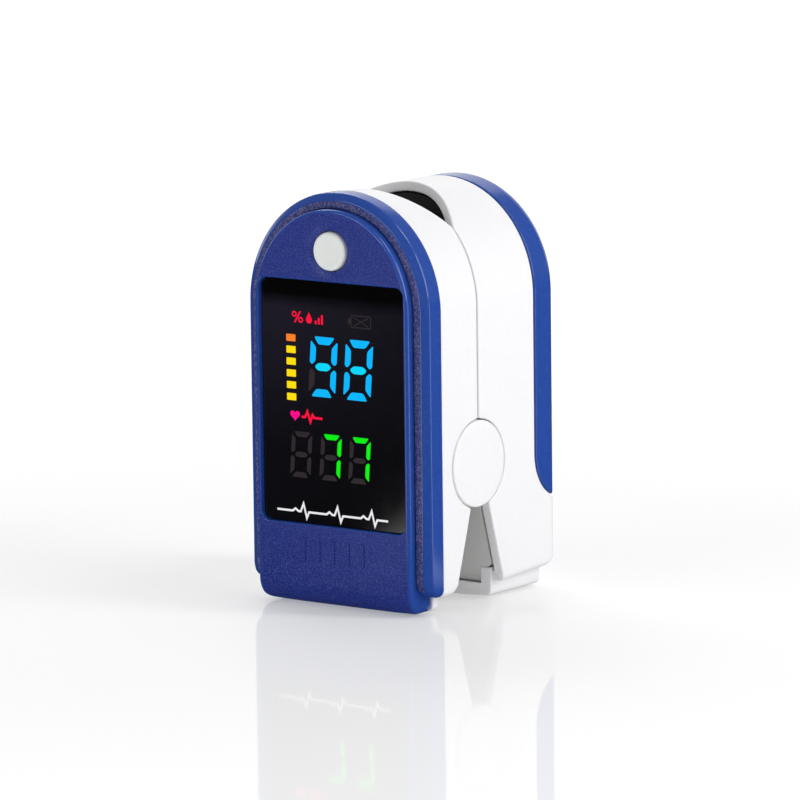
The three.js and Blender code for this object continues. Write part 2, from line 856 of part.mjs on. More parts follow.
add(rearHalf, 'rear_shell', rearShell(), whitePlastic());
add(rearHalf, 'rear_cradle', rearCradle(), innerPlastic());
add(rearHalf, 'rear_finger_pad', fingerPad(fingerDepthRear, 1), silicone());
add(rearHalf, 'sensor_window', lens(fingerDepthRear, 1), lensPlastic());
add(rearHalf, 'photodiode', photodiode(), blackPlastic());
add(rearHalf, 'battery_1', cell(1), cellJacket());
add(rearHalf, 'battery_2', cell(-1), cellJacket());
add(rearHalf, 'contact_spring_1', contactSpring(-1, bayFloor + 0.35, cellBottom - 0.3), contactMetal());
add(rearHalf, 'contact_spring_2', contactSpring(1, cellTop - 1.0, cellTop + 0.3), contactMetal());
add(rearHalf, 'contact_plate_1', contactPlate(-1, cellTop + gap), contactMetal());
add(rearHalf, 'contact_plate_2', contactPlate(1, bayFloor + gap), contactMetal());
add(rearHalf, 'hinge_pin', hingePin(), steel());
add(rearHalf, 'hinge_cap_left', hingeCap(-1), whitePlastic());
add(rearHalf, 'hinge_cap_right', hingeCap(1), whitePlastic());
add(rearHalf, 'torsion_spring', torsionSpring(), steel());
add(rearHalf, 'flex_cable', flexCable(), copperFilm());
add(batteryDoor, 'battery_cover', batteryCover(), bluePlastic());

let screwNumber = 0;
for (const side of sides) {
  for (const height of screwHeights) {
    screwNumber += 1;
    add(frontHalf, `front_screw_${screwNumber}`, screw(side * screwOffset, height, -1), steel());
    add(rearHalf, `rear_screw_${screwNumber}`, screw(side * screwOffset, height, 1), steel());
  }
}

// The model's origin is the middle of its underside.
const assembly = new THREE.Group();
assembly.add(frontHalf, buttonGroup, rearHalf, batteryDoor);
assembly.position.y = -(panelFace - buttonProud + rearFace) / 2;

export default assembly;
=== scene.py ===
"""The looks of a fingertip pulse oximeter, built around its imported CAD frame.

Shapes are worked out in millimetres with y = 0 on the plane where the two halves meet,
the display facing -Y and z = 0 on the ground, and are then placed in the frame's metres.
"""

import json
import math

import bmesh
import bpy
from mathutils import Matrix, Vector
from mathutils.geometry import delaunay_2d_cdt


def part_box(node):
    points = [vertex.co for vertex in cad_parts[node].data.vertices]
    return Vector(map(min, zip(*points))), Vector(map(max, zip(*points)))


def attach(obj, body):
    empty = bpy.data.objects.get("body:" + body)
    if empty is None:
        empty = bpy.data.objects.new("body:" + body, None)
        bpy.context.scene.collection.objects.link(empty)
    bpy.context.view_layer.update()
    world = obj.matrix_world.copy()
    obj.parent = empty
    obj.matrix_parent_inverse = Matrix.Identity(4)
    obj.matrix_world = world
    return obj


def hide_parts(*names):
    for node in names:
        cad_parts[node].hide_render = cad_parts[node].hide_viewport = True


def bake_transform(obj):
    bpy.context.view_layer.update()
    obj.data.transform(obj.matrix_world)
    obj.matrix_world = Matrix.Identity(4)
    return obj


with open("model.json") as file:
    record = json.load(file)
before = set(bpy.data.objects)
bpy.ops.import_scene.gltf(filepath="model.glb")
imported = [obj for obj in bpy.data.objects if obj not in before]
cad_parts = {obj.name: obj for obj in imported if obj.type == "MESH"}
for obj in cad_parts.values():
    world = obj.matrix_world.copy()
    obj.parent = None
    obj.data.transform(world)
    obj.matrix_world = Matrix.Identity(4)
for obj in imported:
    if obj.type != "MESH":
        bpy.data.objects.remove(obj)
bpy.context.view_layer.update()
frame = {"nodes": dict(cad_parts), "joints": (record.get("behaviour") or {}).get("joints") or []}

MM = 0.001
HALF_TURN = math.pi
QUARTER = math.pi / 2

# ------------------------------------------------------------------ places from the frame

clip_hinge = next(joint for joint in frame["joints"] if joint["name"] == "clip_hinge")
parting_y = clip_hinge["pos_m"][1]
pivot_height = clip_hinge["pos_m"][2] / MM


def box_mm(node):
    """A node's lowest and highest corners, in millimetres about the parting plane."""
    low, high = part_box(node)
    shift = Vector((0, parting_y, 0))
    return (low - shift) / MM, (high - shift) / MM


cover_low, cover_high = box_mm("front_cover")
_, shell_high = box_mm("rear_shell")
_, door_high = box_mm("battery_cover")
window_low, window_high = box_mm("display_window")
button_low, button_high = box_mm("power_button")
cap_low, cap_high = box_mm("hinge_cap_right")
_, cell_high = box_mm("battery_1")

spring_line = 42.2  # height at which the straight sides turn into the arch
body_half = shell_high.x
body_rise = shell_high.z - spring_line
bezel_half = cover_high.x
bezel_rise = cover_high.z - spring_line
panel_face = cover_low.y
rear_face = door_high.y
window_face = window_low.y

# ------------------------------------------------------------------ the rest of the sizes

wall = 1.45
gap = 0.15
parting_gap = 0.15
front_gap_start = -0.05
front_gap_slope = 0.31
rear_gap_start = 0.6
rear_gap_slope = 0.298
window_half = window_high.x + gap
window_bottom = window_low.z - gap
window_top = window_high.z + gap
window_corner = 1.3
button_height = (button_low.z + button_high.z) / 2
button_radius = 2.7
rim = 0.22  # rounding of the shells' edges
cap_radius = (cap_high.z - cap_low.z) / 2
notch_clearance = 0.2  # the shells stay this far from the hinge caps
pin_radius = 1.0
pin_clearance = 0.08
knuckle_radius = 3.0
knuckle_clearance = 0.35

band_face = -12.3
cover_back = -8.8
cover_seam = 13.85
cover_corner = 6.67
cover_corner_top = 19.5
seam_gap = 0.3
rear_rounding = 2.2
body_corner = 1.0

foot_level = 2.9
band_bottom = 2.5
front_bottom = 2.4
rear_bottom = 2.4
foot_half = 13.4
foot_corner = 0.8
rest_half = 4.0
foot_sag = 0.3
tongue_curl = 3.6  # the lower ends of the panel and of the band are rounded backwards
band_curl = 2.9
heel_start = 4  # the rear half's underside rises from here to an arc at the back
heel_rise = 0.6
heel_radius = 3.1
front_foot_back = -7.4
rear_foot_front = 5.2
rear_foot_back = 17.2
panel_half = 13.15
panel_rise = 13.9
panel_wall = 1.35
band_wall = 1.65

finger_half = 8.6
finger_depth_front = 4.0
finger_depth_rear = 4.4
finger_end = 27.0
finger_end_rise = 7.0
flare_start = 49.0
flare_end = 57.0
flare = 2.4
pad_thickness = 0.9
trough_wall = 1.05
lens_hole = 3.0
sensor_height = 37.0

mouth_half = 11.4
mouth_depth_front = 4.6
mouth_depth_rear = 5.6

front_knuckles = (7.8, 10.4)
rear_knuckles = (10.7, 13.2)
cap_boss = 2.5
spring_room = 4.1
cradle_inset = wall + 0.25
flange_near = 0.3
flange_far = 1.7
bay_floor = 2.0
bay_half = 11.75
bay_back = 16.3
cell_offset = 5.4
cell_depth = 12.3
screw_offset = 11.7
screw_heights = (28.0, 45.0)
screw_hole = 0.85
head_hole = 1.45
SIDES = (-1, 1)
beyond = 20  # past the object, sideways or in depth
above = 80  # over the object

ARCH_STEPS = 56
CORNER_STEPS = 10


def front_gap_edge(z):
    """The V below the hinge: y of the front half's edge at height z."""
    return front_gap_start - front_gap_slope * (pivot_height - z)


def rear_gap_edge(z):
    return rear_gap_start + rear_gap_slope * (pivot_height - z)


# ------------------------------------------------------------------ outlines, as (x, z) points


def arc(centre_x, centre_z, radius_x, radius_z, start, end, steps):
    points = []
    for step in range(steps + 1):
        angle = start + (end - start) * step / steps
        points.append((centre_x + radius_x * math.cos(angle), centre_z + radius_z * math.sin(angle)))
    return points


def mirrored(points):
    return points + [(-x, z) for x, z in reversed(points) if x > 1e-6]


def arch(half, rise):
    return arc(0, spring_line, half, rise, 0, QUARTER, ARCH_STEPS)


def side_steps(half, bottom):
    """Points up a straight side, so that a curve can be cut across it."""
    count = 60
    return [(half, bottom + (spring_line - bottom) * step / count) for step in range(1, count)]


def arch_outline(half, rise, bottom, corner, fine=False):
    turn = arc(half - corner, bottom + corner, corner, corner, -QUARTER, 0, CORNER_STEPS)
    side = side_steps(half, bottom + corner) if fine else []
    return mirrored(turn + side + arch(half, rise))


def body_outline(inset, bottom, corner, fine=False):
    return arch_outline(body_half - inset, body_rise - inset, bottom, corner, fine)


def foot_line(half, lift, corner):
    """The underside from its flat middle to its rounded corner, on the right-hand side."""
    corner_x = half - corner
    steps = 12
    sag = []
    for step in range(steps):
        share = step / steps
        sag.append((rest_half + (corner_x - rest_half) * share, lift + foot_sag * share**2))
    turn = arc(corner_x, lift + foot_sag + corner, corner, corner, -QUARTER, 0, CORNER_STEPS)
    return sag + turn


def foot_outline(half, rise, lift, corner):
    return mirrored(foot_line(half, lift, corner) + arch(half, rise))


def rounded_rectangle(half, bottom, top, corner):
    lower = arc(half - corner, bottom + corner, corner, corner, -QUARTER, 0, CORNER_STEPS)
    upper = arc(half - corner, top - corner, corner, corner, 0, QUARTER, CORNER_STEPS)
    return mirrored(lower + upper)


def circle(x, z, radius):
    steps = 64
    return arc(x, z, radius, radius, 0, 2 * HALF_TURN * (1 - 1 / steps), steps - 1)


def quarter_turns(steps):
    """Even angles from zero to a right angle."""
    return [QUARTER * step / steps for step in range(steps + 1)]


def offset(outline, inset):
    """The outline drawn in by inset, along each point's own normal."""
    count = len(outline)
    moved = []
    for index, (x, z) in enumerate(outline):
        before = Vector(outline[index - 1])
        after = Vector(outline[(index + 1) % count])
        along = (after - before).normalized()
        moved.append((x - along.y * inset, z + along.x * inset))
    return moved


# ------------------------------------------------------------------ meshes


def ring(bm, outline, y):
    return [bm.verts.new((x, y, z)) for x, z in outline]


def bridge(bm, first, second, mark=0):
    """Quads between two closed rings of points."""
    count = len(first)
    for index in range(count):
        follow = (index + 1) % count
        face = bm.faces.new((first[index], first[follow], second[follow], second[index]))
        face.material_index = mark


def inside(point, outline):
    crossings = 0
    count = len(outline)
    for index in range(count):
        ax, az = outline[index]
        bx, bz = outline[(index + 1) % count]
        if (az > point[1]) != (bz > point[1]):
            if point[0] < ax + (point[1] - az) * (bx - ax) / (bz - az):
                crossings += 1
    return crossings % 2 == 1


def fill(bm, rings, mark=0):
    """A flat face between rings that share one y: the first is outside, the others are holes."""
    flat = []
    edges = []
    verts = []
    for loop in rings:
        start = len(flat)
        flat += [Vector((vert.co.x, vert.co.z)) for vert in loop]
        verts += loop
        edges += [(start + index, start + (index + 1) % len(loop)) for index in range(len(loop))]
    found = delaunay_2d_cdt(flat, edges, [], 1, 1e-6)
    outlines = [[(vert.co.x, vert.co.z) for vert in loop] for loop in rings]
    for face in found[2]:
        centre = sum((found[0][index] for index in face), Vector((0, 0))) / len(face)
        if not inside(centre, outlines[0]) or any(inside(centre, hole) for hole in outlines[1:]):
            continue
        own = [verts[found[3][index][0]] for index in face]
        made = bm.faces.new(own)
        made.material_index = mark


marks_kept = [bpy.data.materials.new("mark") for _ in range(3)]


def to_object(bm):
    bmesh.ops.recalc_face_normals(bm, faces=bm.faces)
    mesh = bpy.data.meshes.new("tool")
    for mark in marks_kept:
        mesh.materials.append(mark)
    bm.to_mesh(mesh)
    bm.free()
    made = bpy.data.objects.new("tool", mesh)
    bpy.context.scene.collection.objects.link(made)
    return made


def combine(target, operation, *tools):
    """Joins (UNION), cuts (DIFFERENCE) or keeps what is common (INTERSECT), and uses the tools up."""
    for tool in tools:
        step = target.modifiers.new("combine", "BOOLEAN")
        step.operation = operation
        step.solver = "MANIFOLD"
        step.object = tool
    graph = bpy.context.evaluated_depsgraph_get()
    mesh = bpy.data.meshes.new_from_object(target.evaluated_get(graph))
    target.modifiers.clear()
    old = target.data
    target.data = mesh
    bpy.data.meshes.remove(old)
    for tool in tools:
        bpy.data.objects.remove(tool)
    return target


def join(target, *tools):
    return combine(target, "UNION", *tools)


def cut(target, *tools):
    return combine(target, "DIFFERENCE", *tools)


def common(target, *tools):
    return combine(target, "INTERSECT", *tools)


def plate(outline, edges, holes=(), marks=(0, 0)):
    """A closed plate: edges lists the outline's (inset, y) from back to front, and each hole is
    (outline, edges) whose insets widen it. marks are the finishes of the walls and of the front,
    which the holes' walls share."""
    bm = bmesh.new()
    fronts = []
    backs = []
    for shape, steps, way in [(outline, edges, 1)] + [(hole, own, -1) for hole, own in holes]:
        rings = [ring(bm, offset(shape, way * inset), y) for inset, y in steps]
        for first, second in zip(rings, rings[1:]):
            bridge(bm, first, second, marks[way < 0])
        fronts.append(rings[-1])
        backs.append(rings[0])
    fill(bm, fronts, marks[1])
    fill(bm, backs)
    return to_object(bm)


def slab(outline, front, back):
    return plate(outline, [(0, back), (0, front)])


def eased(front, back, radius):
    """(inset, y) steps of a wall from back to front whose two ends are rounded."""
    turns = quarter_turns(5)
    back_end = [(radius * (1 - math.sin(turn)), back - radius * (1 - math.cos(turn))) for turn in turns]
    front_end = [(radius * (1 - math.cos(turn)), front + radius * (1 - math.sin(turn))) for turn in turns]
    return back_end + front_end


def rounded_corner(inset, y, radius_in, radius_y, steps):
    """(inset, y) steps round a front edge, from the wall at inset to the face at y."""
    points = []
    for turn in quarter_turns(steps):
        points.append((inset + radius_in * (1 - math.cos(turn)), y + radius_y * (1 - math.sin(turn))))
    return points


def across_x(profile, left, right):
    """A side profile of (y, z) points, running from left to right."""
    bm = bmesh.new()
    first = [bm.verts.new((left, y, z)) for y, z in profile]
    second = [bm.verts.new((right, y, z)) for y, z in profile]
    bridge(bm, first, second)
    bm.faces.new(first)
    bm.faces.new(second)
    return to_object(bm)


def box_between(low, high):
    low_y, low_z, high_y, high_z = low[1], low[2], high[1], high[2]
    return across_x([(low_y, low_z), (high_y, low_z), (high_y, high_z), (low_y, high_z)], low[0], high[0])


def lathe(profile, turn, steps, marks=None):
    """A profile of (radius, distance) turned about an axis.

    turn places a point that is given as radius, distance and angle.
    """
    bm = bmesh.new()
    loops = []
    for radius, along in profile:
        if radius < 1e-6:
            loops.append([bm.verts.new(turn(0, along, 0))])
            continue
        loops.append([bm.verts.new(turn(radius, along, 2 * HALF_TURN * k / steps)) for k in range(steps)])
    for index, (first, second) in enumerate(zip(loops, loops[1:])):
        mark = marks[index] if marks else 0
        for k in range(steps):
            follow = (k + 1) % steps
            corners = [first[k % len(first)], first[follow % len(first)]]
            corners += [second[follow % len(second)], second[k % len(second)]]
            face = bm.faces.new(list(dict.fromkeys(corners)))
            face.material_index = mark
    return to_object(bm)


def about_x():
    """About the hinge's axis."""
    height = pivot_height
    return lambda radius, along, angle: (along, radius * math.cos(angle), height + radius * math.sin(angle))


def about_y(x, z):
    return lambda radius, along, angle: (x + radius * math.cos(angle), along, z + radius * math.sin(angle))


def about_z(x, y):
    return lambda radius, along, angle: (x + radius * math.cos(angle), y + radius * math.sin(angle), along)


def rod(radius, start, end, turn, steps=48, ease=0.0):
    profile = [(0, start), (radius - ease, start)]
    if ease:
        profile += [(radius, start + ease), (radius, end - ease)]
    profile += [(radius - ease, end), (0, end)]
    return lathe(profile, turn, steps)


def sweep(points, radius, sides):
    """A round wire along a list of points, with rounded-off ends."""
    bm = bmesh.new()
    loops = []
    count = len(points)
    normal = None
    for index, point in enumerate(points):
        along = (points[min(index + 1, count - 1)] - points[max(index - 1, 0)]).normalized()
        if normal is None:
            normal = along.orthogonal().normalized()
        normal = (normal - along * normal.dot(along)).normalized()
        across = along.cross(normal)
        size = radius * (0.6 if index in (0, count - 1) else 1)
        turns = [2 * HALF_TURN * k / sides for k in range(sides)]
        spokes = [(normal * math.cos(t) + across * math.sin(t)) * size for t in turns]
        loops.append([bm.verts.new(point + spoke) for spoke in spokes])
    for first, second in zip(loops, loops[1:]):
        bridge(bm, first, second)
    bm.faces.new(loops[0])
    bm.faces.new(loops[-1])
    return to_object(bm)


# ------------------------------------------------------------------ curved shells


def skin(stations):
    """The body's outer surface: stations are (y, inset, bottom), and the rings come back with it so that the
    last can be filled in.
    """
    bm = bmesh.new()
    rings = []
    for y, inset, bottom in stations:
        corner = max(0.6, body_corner - inset)
        rings.append(ring(bm, body_outline(inset, bottom, corner, fine=True), y))
    for first, second in zip(rings, rings[1:]):
        bridge(bm, first, second)
    return bm, rings


def root_between(keep, first, second):
    """How far along from first to second keep() is zero."""
    low, high = 0.0, 1.0
    sign = keep(first) > 0
    for _ in range(22):
        middle = (low + high) / 2
        if (keep(first.lerp(second, middle)) > 0) == sign:
            low = middle
        else:
            high = middle
    return (low + high) / 2


def slope(keep, point):
    step = 1e-3
    parts = []
    for axis in range(3):
        away = Vector((0, 0, 0))
        away[axis] = step
        parts.append((keep(point + away) - keep(point - away)) / (2 * step))
    return Vector(parts)


def trim(bm, keep):
    """Cuts an open surface along keep(point) = 0 and drops the side where keep is negative."""
    snap = 0.05  # points this near the line are moved onto it
    value = {}
    for vert in bm.verts:
        amount = keep(vert.co)
        if abs(amount) < snap:
            way = slope(keep, vert.co)
            vert.co -= way * (amount / max(way.length_squared, 1e-6))
            amount = 0.0
        value[vert] = amount
    for edge in list(bm.edges):
        first, second = edge.verts
        if value[first] * value[second] < 0:
            share = root_between(keep, first.co, second.co)
            _, made = bmesh.utils.edge_split(edge, first, share)
            value[made] = 0.0
    for face in list(bm.faces):
        zero = [vert for vert in face.verts if value[vert] == 0.0]
        values = [value[vert] for vert in face.verts]
        if len(zero) >= 2 and min(values) < 0 < max(values):
            bmesh.ops.connect_verts(bm, verts=zero)
    dropped = []
    for face in bm.faces:
        values = [value[vert] for vert in face.verts]
        total = min(values) + max(values)
        if total < 0 or (total == 0 and keep(face.calc_center_median()) < 0):
            dropped.append(face)
    bmesh.ops.delete(bm, geom=dropped, context="FACES")


def thicken(bm, thickness, radius):
    """Gives an open surface its thickness, with rounded edges that stand radius outside its border."""
    bmesh.ops.recalc_face_normals(bm, faces=bm.faces)
    if sum((face.calc_center_median() - Vector((0, 5, 30))).dot(face.normal) for face in bm.faces) < 0:
        bmesh.ops.reverse_faces(bm, faces=bm.faces)
    bm.normal_update()
    faces = list(bm.faces)
    border = [edge for edge in bm.edges if edge.is_boundary]
    outward = {}
    for edge in border:
        face = edge.link_faces[0]
        first, second = edge.verts
        side = (second.co - first.co).normalized().cross(face.normal)
        if side.dot((first.co + second.co) / 2 - face.calc_center_median()) < 0:
            side.negate()
        for vert in edge.verts:
            outward[vert] = outward.get(vert, Vector((0, 0, 0))) + side
    normals = {vert: vert.normal.copy() for vert in bm.verts}
    inner = {vert: bm.verts.new(vert.co - normals[vert] * thickness) for vert in list(bm.verts)}
    for face in faces:
        made = bm.faces.new([inner[vert] for vert in reversed(face.verts)])
        made.material_index = face.material_index
    turns = quarter_turns(4)
    edge_steps = [(math.sin(turn), 1 - math.cos(turn)) for turn in turns[1:]]
    edge_steps += [(math.cos(turn), thickness / radius - 1 + math.sin(turn)) for turn in turns[:-1]]
    rims = {}
    for vert, side in outward.items():
        side = (side - normals[vert] * side.dot(normals[vert])).normalized()
        line = [vert]
        for reach, depth in edge_steps:
            line.append(bm.verts.new(vert.co + side * reach * radius - normals[vert] * depth * radius))
        line.append(inner[vert])
        rims[vert] = line
    for edge in border:
        first, second = edge.verts
        for index in range(len(rims[first]) - 1):
            near, far = rims[first][index:index + 2], rims[second][index:index + 2]
            bm.faces.new((near[0], far[0], far[1], near[1]))


def spread(start, end, count):
    return [start + (end - start) * step / count for step in range(count + 1)]


def heel(y):
    """Height of the rear half's underside, which rises towards the back and turns up in an arc."""
    arc_start = rear_face + 0.1 - heel_radius
    if y < heel_start:
        return rear_bottom
    if y < arc_start:
        return rear_bottom + heel_rise * (y - heel_start) / (arc_start - heel_start)
    reach = min(heel_radius, y - arc_start)
    return rear_bottom + heel_rise + heel_radius - math.sqrt(heel_radius**2 - reach**2)


def rear_skin(front):
    """The whole rear half's surface from front to its flat back."""
    stations = [(y, 0, heel(y)) for y in spread(front, rear_face - rear_rounding, 30)]
    for turn in quarter_turns(10)[1:]:
        y = rear_face - rear_rounding * (1 - math.sin(turn))
        inset = rear_rounding * (1 - math.cos(turn))
        stations.append((y, inset, max(rear_bottom + inset, heel(y))))
    bm, rings = skin(stations)
    fill(bm, [rings[-1]], mark=1)
    return bm


def outside_cover(point):
    """Distance outside the battery cover's edge, seen from the side; its lower corner is an arc."""
    middle = cover_seam + cover_corner
    if point.z >= cover_corner_top:
        return cover_seam - point.y
    if point.y < middle:
        return math.hypot(point.y - middle, point.z - cover_corner_top) - cover_corner
    return cover_corner_top - cover_corner - point.z


def scoop_edge(point, depth):
    """How far the mouth's scoop reaches into a shell at this point: a parabola across the arch."""
    if point.z < spring_line:
        return -1.0
    return depth * (1 - (point.x / mouth_half) ** 2)


def from_notch(point):
    return math.hypot(point.y, point.z - pivot_height) - cap_radius - notch_clearance


# ------------------------------------------------------------------ the parts' shapes


def foot_block(half, lift, top, front, back):
    line = foot_line(half, lift, foot_corner)
    outline = mirrored(line + [(half, top)])
    return plate(outline, eased(front, back, 0.25))


def at_screws(shape):
    return [shape(side * screw_offset, height) for side in SIDES for height in screw_heights]


def grip_bars():
    """Slim raised ridges on the push tongue."""
    bars = []
    for index in range(5):
        middle = (index - 2) * 2.55
        half, low, high = 0.3, 6.4, 9.8
        line = arc(middle, high - half, half, half, 0, HALF_TURN, 10)
        line += arc(middle, low + half, half, half, HALF_TURN, 2 * HALF_TURN, 10)
        edges = [(-0.1, panel_face + 0.3), (0, panel_face)]
        edges += rounded_corner(0, panel_face - 0.16, 0.16, 0.14, 4)
        bars.append(plate(line, edges, marks=(1, 1)))
    return bars


def curl(made, bottom, radius, face):
    """Rounds the lower end of a plate backwards, as seen from the side; its back stays where it is."""
    bm = bmesh.new()
    bm.from_mesh(made.data)
    steps = 14
    for step in range(1, steps + 1):
        level = bottom + radius * (1 - math.sin(QUARTER * step / (steps + 0.5)))
        whole = list(bm.verts) + list(bm.edges) + list(bm.faces)
        bmesh.ops.bisect_plane(bm, geom=whole, plane_co=(0, 0, level), plane_no=(0, 0, 1), dist=1e-4)
    for vert in bm.verts:
        drop = bottom + radius - vert.co.z
        if drop > 0:
            share = min(1, max(0, (cover_back - vert.co.y) / (cover_back - face)))
            vert.co.y += share * (radius - math.sqrt(max(0, radius**2 - drop**2)))
    bm.to_mesh(made.data)
    bm.free()
    return made


def front_cover():
    band_edges = [(0.2, cover_back), (0.06, cover_back - 0.06), (0, cover_back - 0.2), (0, band_face + 0.95)]
    band_edges += [(0.02, band_face + 0.82), (0.09, band_face + 0.68), (0.16, band_face + 0.6)]
    band_edges += [(0.78, band_face + 0.14), (0.88, band_face + 0.06), (1.0, band_face + 0.015)]
    band_edges.append((1.15, band_face))
    band = plate(arch_outline(bezel_half, bezel_rise, band_bottom, 1.3), band_edges, marks=(0, 2))
    groove = slab(arch_outline(panel_half + 0.16, panel_rise + 0.16, -2, 0.6), -beyond, band_face + 0.45)
    opening = rounded_rectangle(window_half, window_bottom, window_top, window_corner)
    window_room = slab(opening, -beyond, 0)
    button_room = rod(button_radius + gap, -beyond, 0, about_y(0, button_height), 64)
    cut(band, groove, window_room, button_room)
    curl(band, band_bottom, band_curl, band_face)

    face = panel_face
    panel_edges = [(0.3, cover_back), (0.09, cover_back - 0.09), (0, cover_back - 0.3), (0, face + 0.5)]
    panel_edges += rounded_corner(0, face, 0.48, 0.5, 8)[1:]
    dish = [(0, cover_back), (0, face + 0.5), (0.05, face + 0.36), (0.16, face + 0.3)]
    dish += [(0.8, face + 0.08), (0.92, face + 0.025), (1.05, face)]
    hole = circle(0, button_height, button_radius + gap)
    panel = plate(foot_outline(panel_half, panel_rise, 0, 1.0), panel_edges, [(hole, dish)], marks=(0, 1))
    flared = [(0, 0), (0, face + 0.2), (-0.03, face + 0.1), (-0.09, face + 0.03), (-0.16, face)]
    flared.append((-0.16, face - 2))
    cut(panel, plate(opening, flared))
    curl(panel, 0, tongue_curl, face)
    floor_level = tongue_curl + 1.4
    room = arch_outline(panel_half - panel_wall, panel_rise - panel_wall, floor_level, 1.0)
    band_room = arch_outline(bezel_half - band_wall, bezel_rise - band_wall, floor_level, 1.0)
    hollow = slab(room, face + wall, 0)
    band_hollow = slab(band_room, band_face + wall, 0)
    cover = join(band, panel)
    return join(cut(cover, hollow, band_hollow), *grip_bars())


def display_window():
    fit = 0.06
    outline = rounded_rectangle(window_half - fit, window_bottom + fit, window_top - fit, window_corner - fit)
    edges = [(0, window_face + 1.0), (0, window_face + 0.12)]
    edges += rounded_corner(0, window_face, 0.12, 0.12, 4)[1:]
    return plate(outline, edges)


def power_button():
    crown = button_low.y
    back = panel_face + wall
    radius = button_radius
    profile = [(0, crown + 0.1), (radius * 0.4, crown + 0.085), (radius * 0.7, crown + 0.04)]
    profile.append((radius * 0.82, crown))
    for turn in quarter_turns(8)[1:]:
        reach = radius * 0.82 + radius * 0.18 * math.sin(turn)
        profile.append((reach, crown + 0.5 * (1 - math.cos(turn))))
    profile += [(radius, back + 0.1), (radius + 0.7, back + 0.1), (radius + 0.7, back + 0.6)]
    profile += [(1.0, back + 0.6), (1.0, button_high.y), (0, button_high.y)]
    return lathe(profile, about_y(0, button_height), 96)


def front_shell():
    front = cover_back + gap
    stations = []
    for y in spread(front + rim, 0.5, 22):
        low = front_bottom + 0.6 * min(1, max(0, y + 6.2))
        stations.append((y, 0, low))
    bm, _ = skin(stations)
    trim(bm, lambda p: -parting_gap - rim - p.y)
    trim(bm, lambda p: -p.y - rim - scoop_edge(p, mouth_depth_front))
    trim(bm, lambda p: from_notch(p) - rim)
    trim(bm, lambda p: front_gap_edge(p.z) - p.y - rim)
    thicken(bm, wall, rim)
    return join(to_object(bm), foot_block(foot_half, 0, foot_level + 1.2, front, front_foot_back))


def rear_shell():
    bm = rear_skin(-0.5)
    trim(bm, lambda p: p.y - parting_gap - rim)
    trim(bm, lambda p: p.y - rim - scoop_edge(p, mouth_depth_rear))
    trim(bm, lambda p: from_notch(p) - rim)
    trim(bm, lambda p: p.y - rear_gap_edge(p.z) - rim)
    trim(bm, lambda p: outside_cover(p) - seam_gap - rim)
    thicken(bm, wall, rim)
    foot = foot_block(foot_half, 0, foot_level + 1.5, rear_foot_front, rear_foot_back)
    shell = join(to_object(bm), foot)
    foot_bay = box_between((-bay_half, 0, bay_floor), (bay_half, bay_back, foot_level + 2))
    cut(shell, foot_bay)
    seam = cover_seam - seam_gap
    rail_inset = wall + 0.3
    back_limit = rear_face - wall - 0.4
    rail = slab(body_outline(rail_inset, 10, 0.8), seam - 1.5, back_limit)
    cut(rail, slab(body_outline(rail_inset + wall, 14.5, 1.2), seam - 2, 30),
        slab(body_outline(rail_inset + wall, foot_level + 1.3, 1.2), seam - 2, rear_face - wall))
    end_rib = box_between((-10.2, 7.35, cell_high.z + 0.6), (10.2, 17.4, cell_high.z + 1.8))
    post_radius, post_front, post_back = 1.5, 2.3, 8
    posts = at_screws(lambda x, z: rod(post_radius, post_front, post_back, about_y(x, z), 32))
    webs = []
    for side in SIDES:
        for height in screw_heights:
            near, far = sorted((side * screw_offset, side * 14.2))
            webs.append(box_between((near, post_front, height - 0.8), (far, post_back, height + 0.8)))
    join(shell, rail, end_rib, *posts, *webs)
    return cut(shell, *at_screws(lambda x, z: rod(screw_hole, 0, 7.4, about_y(x, z), 24)))


def battery_cover():
    bm = rear_skin(cover_seam - 1)
    trim(bm, lambda p: -outside_cover(p) - rim)
    thicken(bm, wall, rim)
    return to_object(bm)


def finger_space(grown, depth):
    """The finger's space: a round-ended trough that flares at the mouth."""
    radius = finger_half + grown
    bottom = finger_end - grown
    profile = [(0, bottom)]
    for turn in quarter_turns(12)[1:]:
        profile.append((radius * math.sin(turn), bottom + finger_end_rise * (1 - math.cos(turn))))
    for step in range(9):
        share = step / 8
        profile.append((radius + flare * share**1.5, flare_start + (flare_end - flare_start) * share))
    profile += [(radius + flare, above), (0, above)]
    squeeze = (depth + grown) / radius
    return lathe(
        profile,
        lambda r, along, angle: (r * math.cos(angle), r * math.sin(angle) * squeeze, along),
        96,
    )


def trough(grown, depth, side):
    near, far = sorted((side * flange_near, side * beyond))
    shape = finger_space(grown, depth)
    half_room = box_between((-beyond, near, 0), (beyond, far, above))
    return common(shape, half_room, slab(body_outline(cradle_inset, 10, 0.5), -beyond, beyond))


def lens_room(side):
    near, far = sorted((0, side * beyond))
    return rod(lens_hole, near, far, about_y(0, sensor_height), 48)


def hinge_rods(radius, inner, outer):
    return [rod(radius, *sorted((side * inner, side * outer)), about_x()) for side in SIDES]


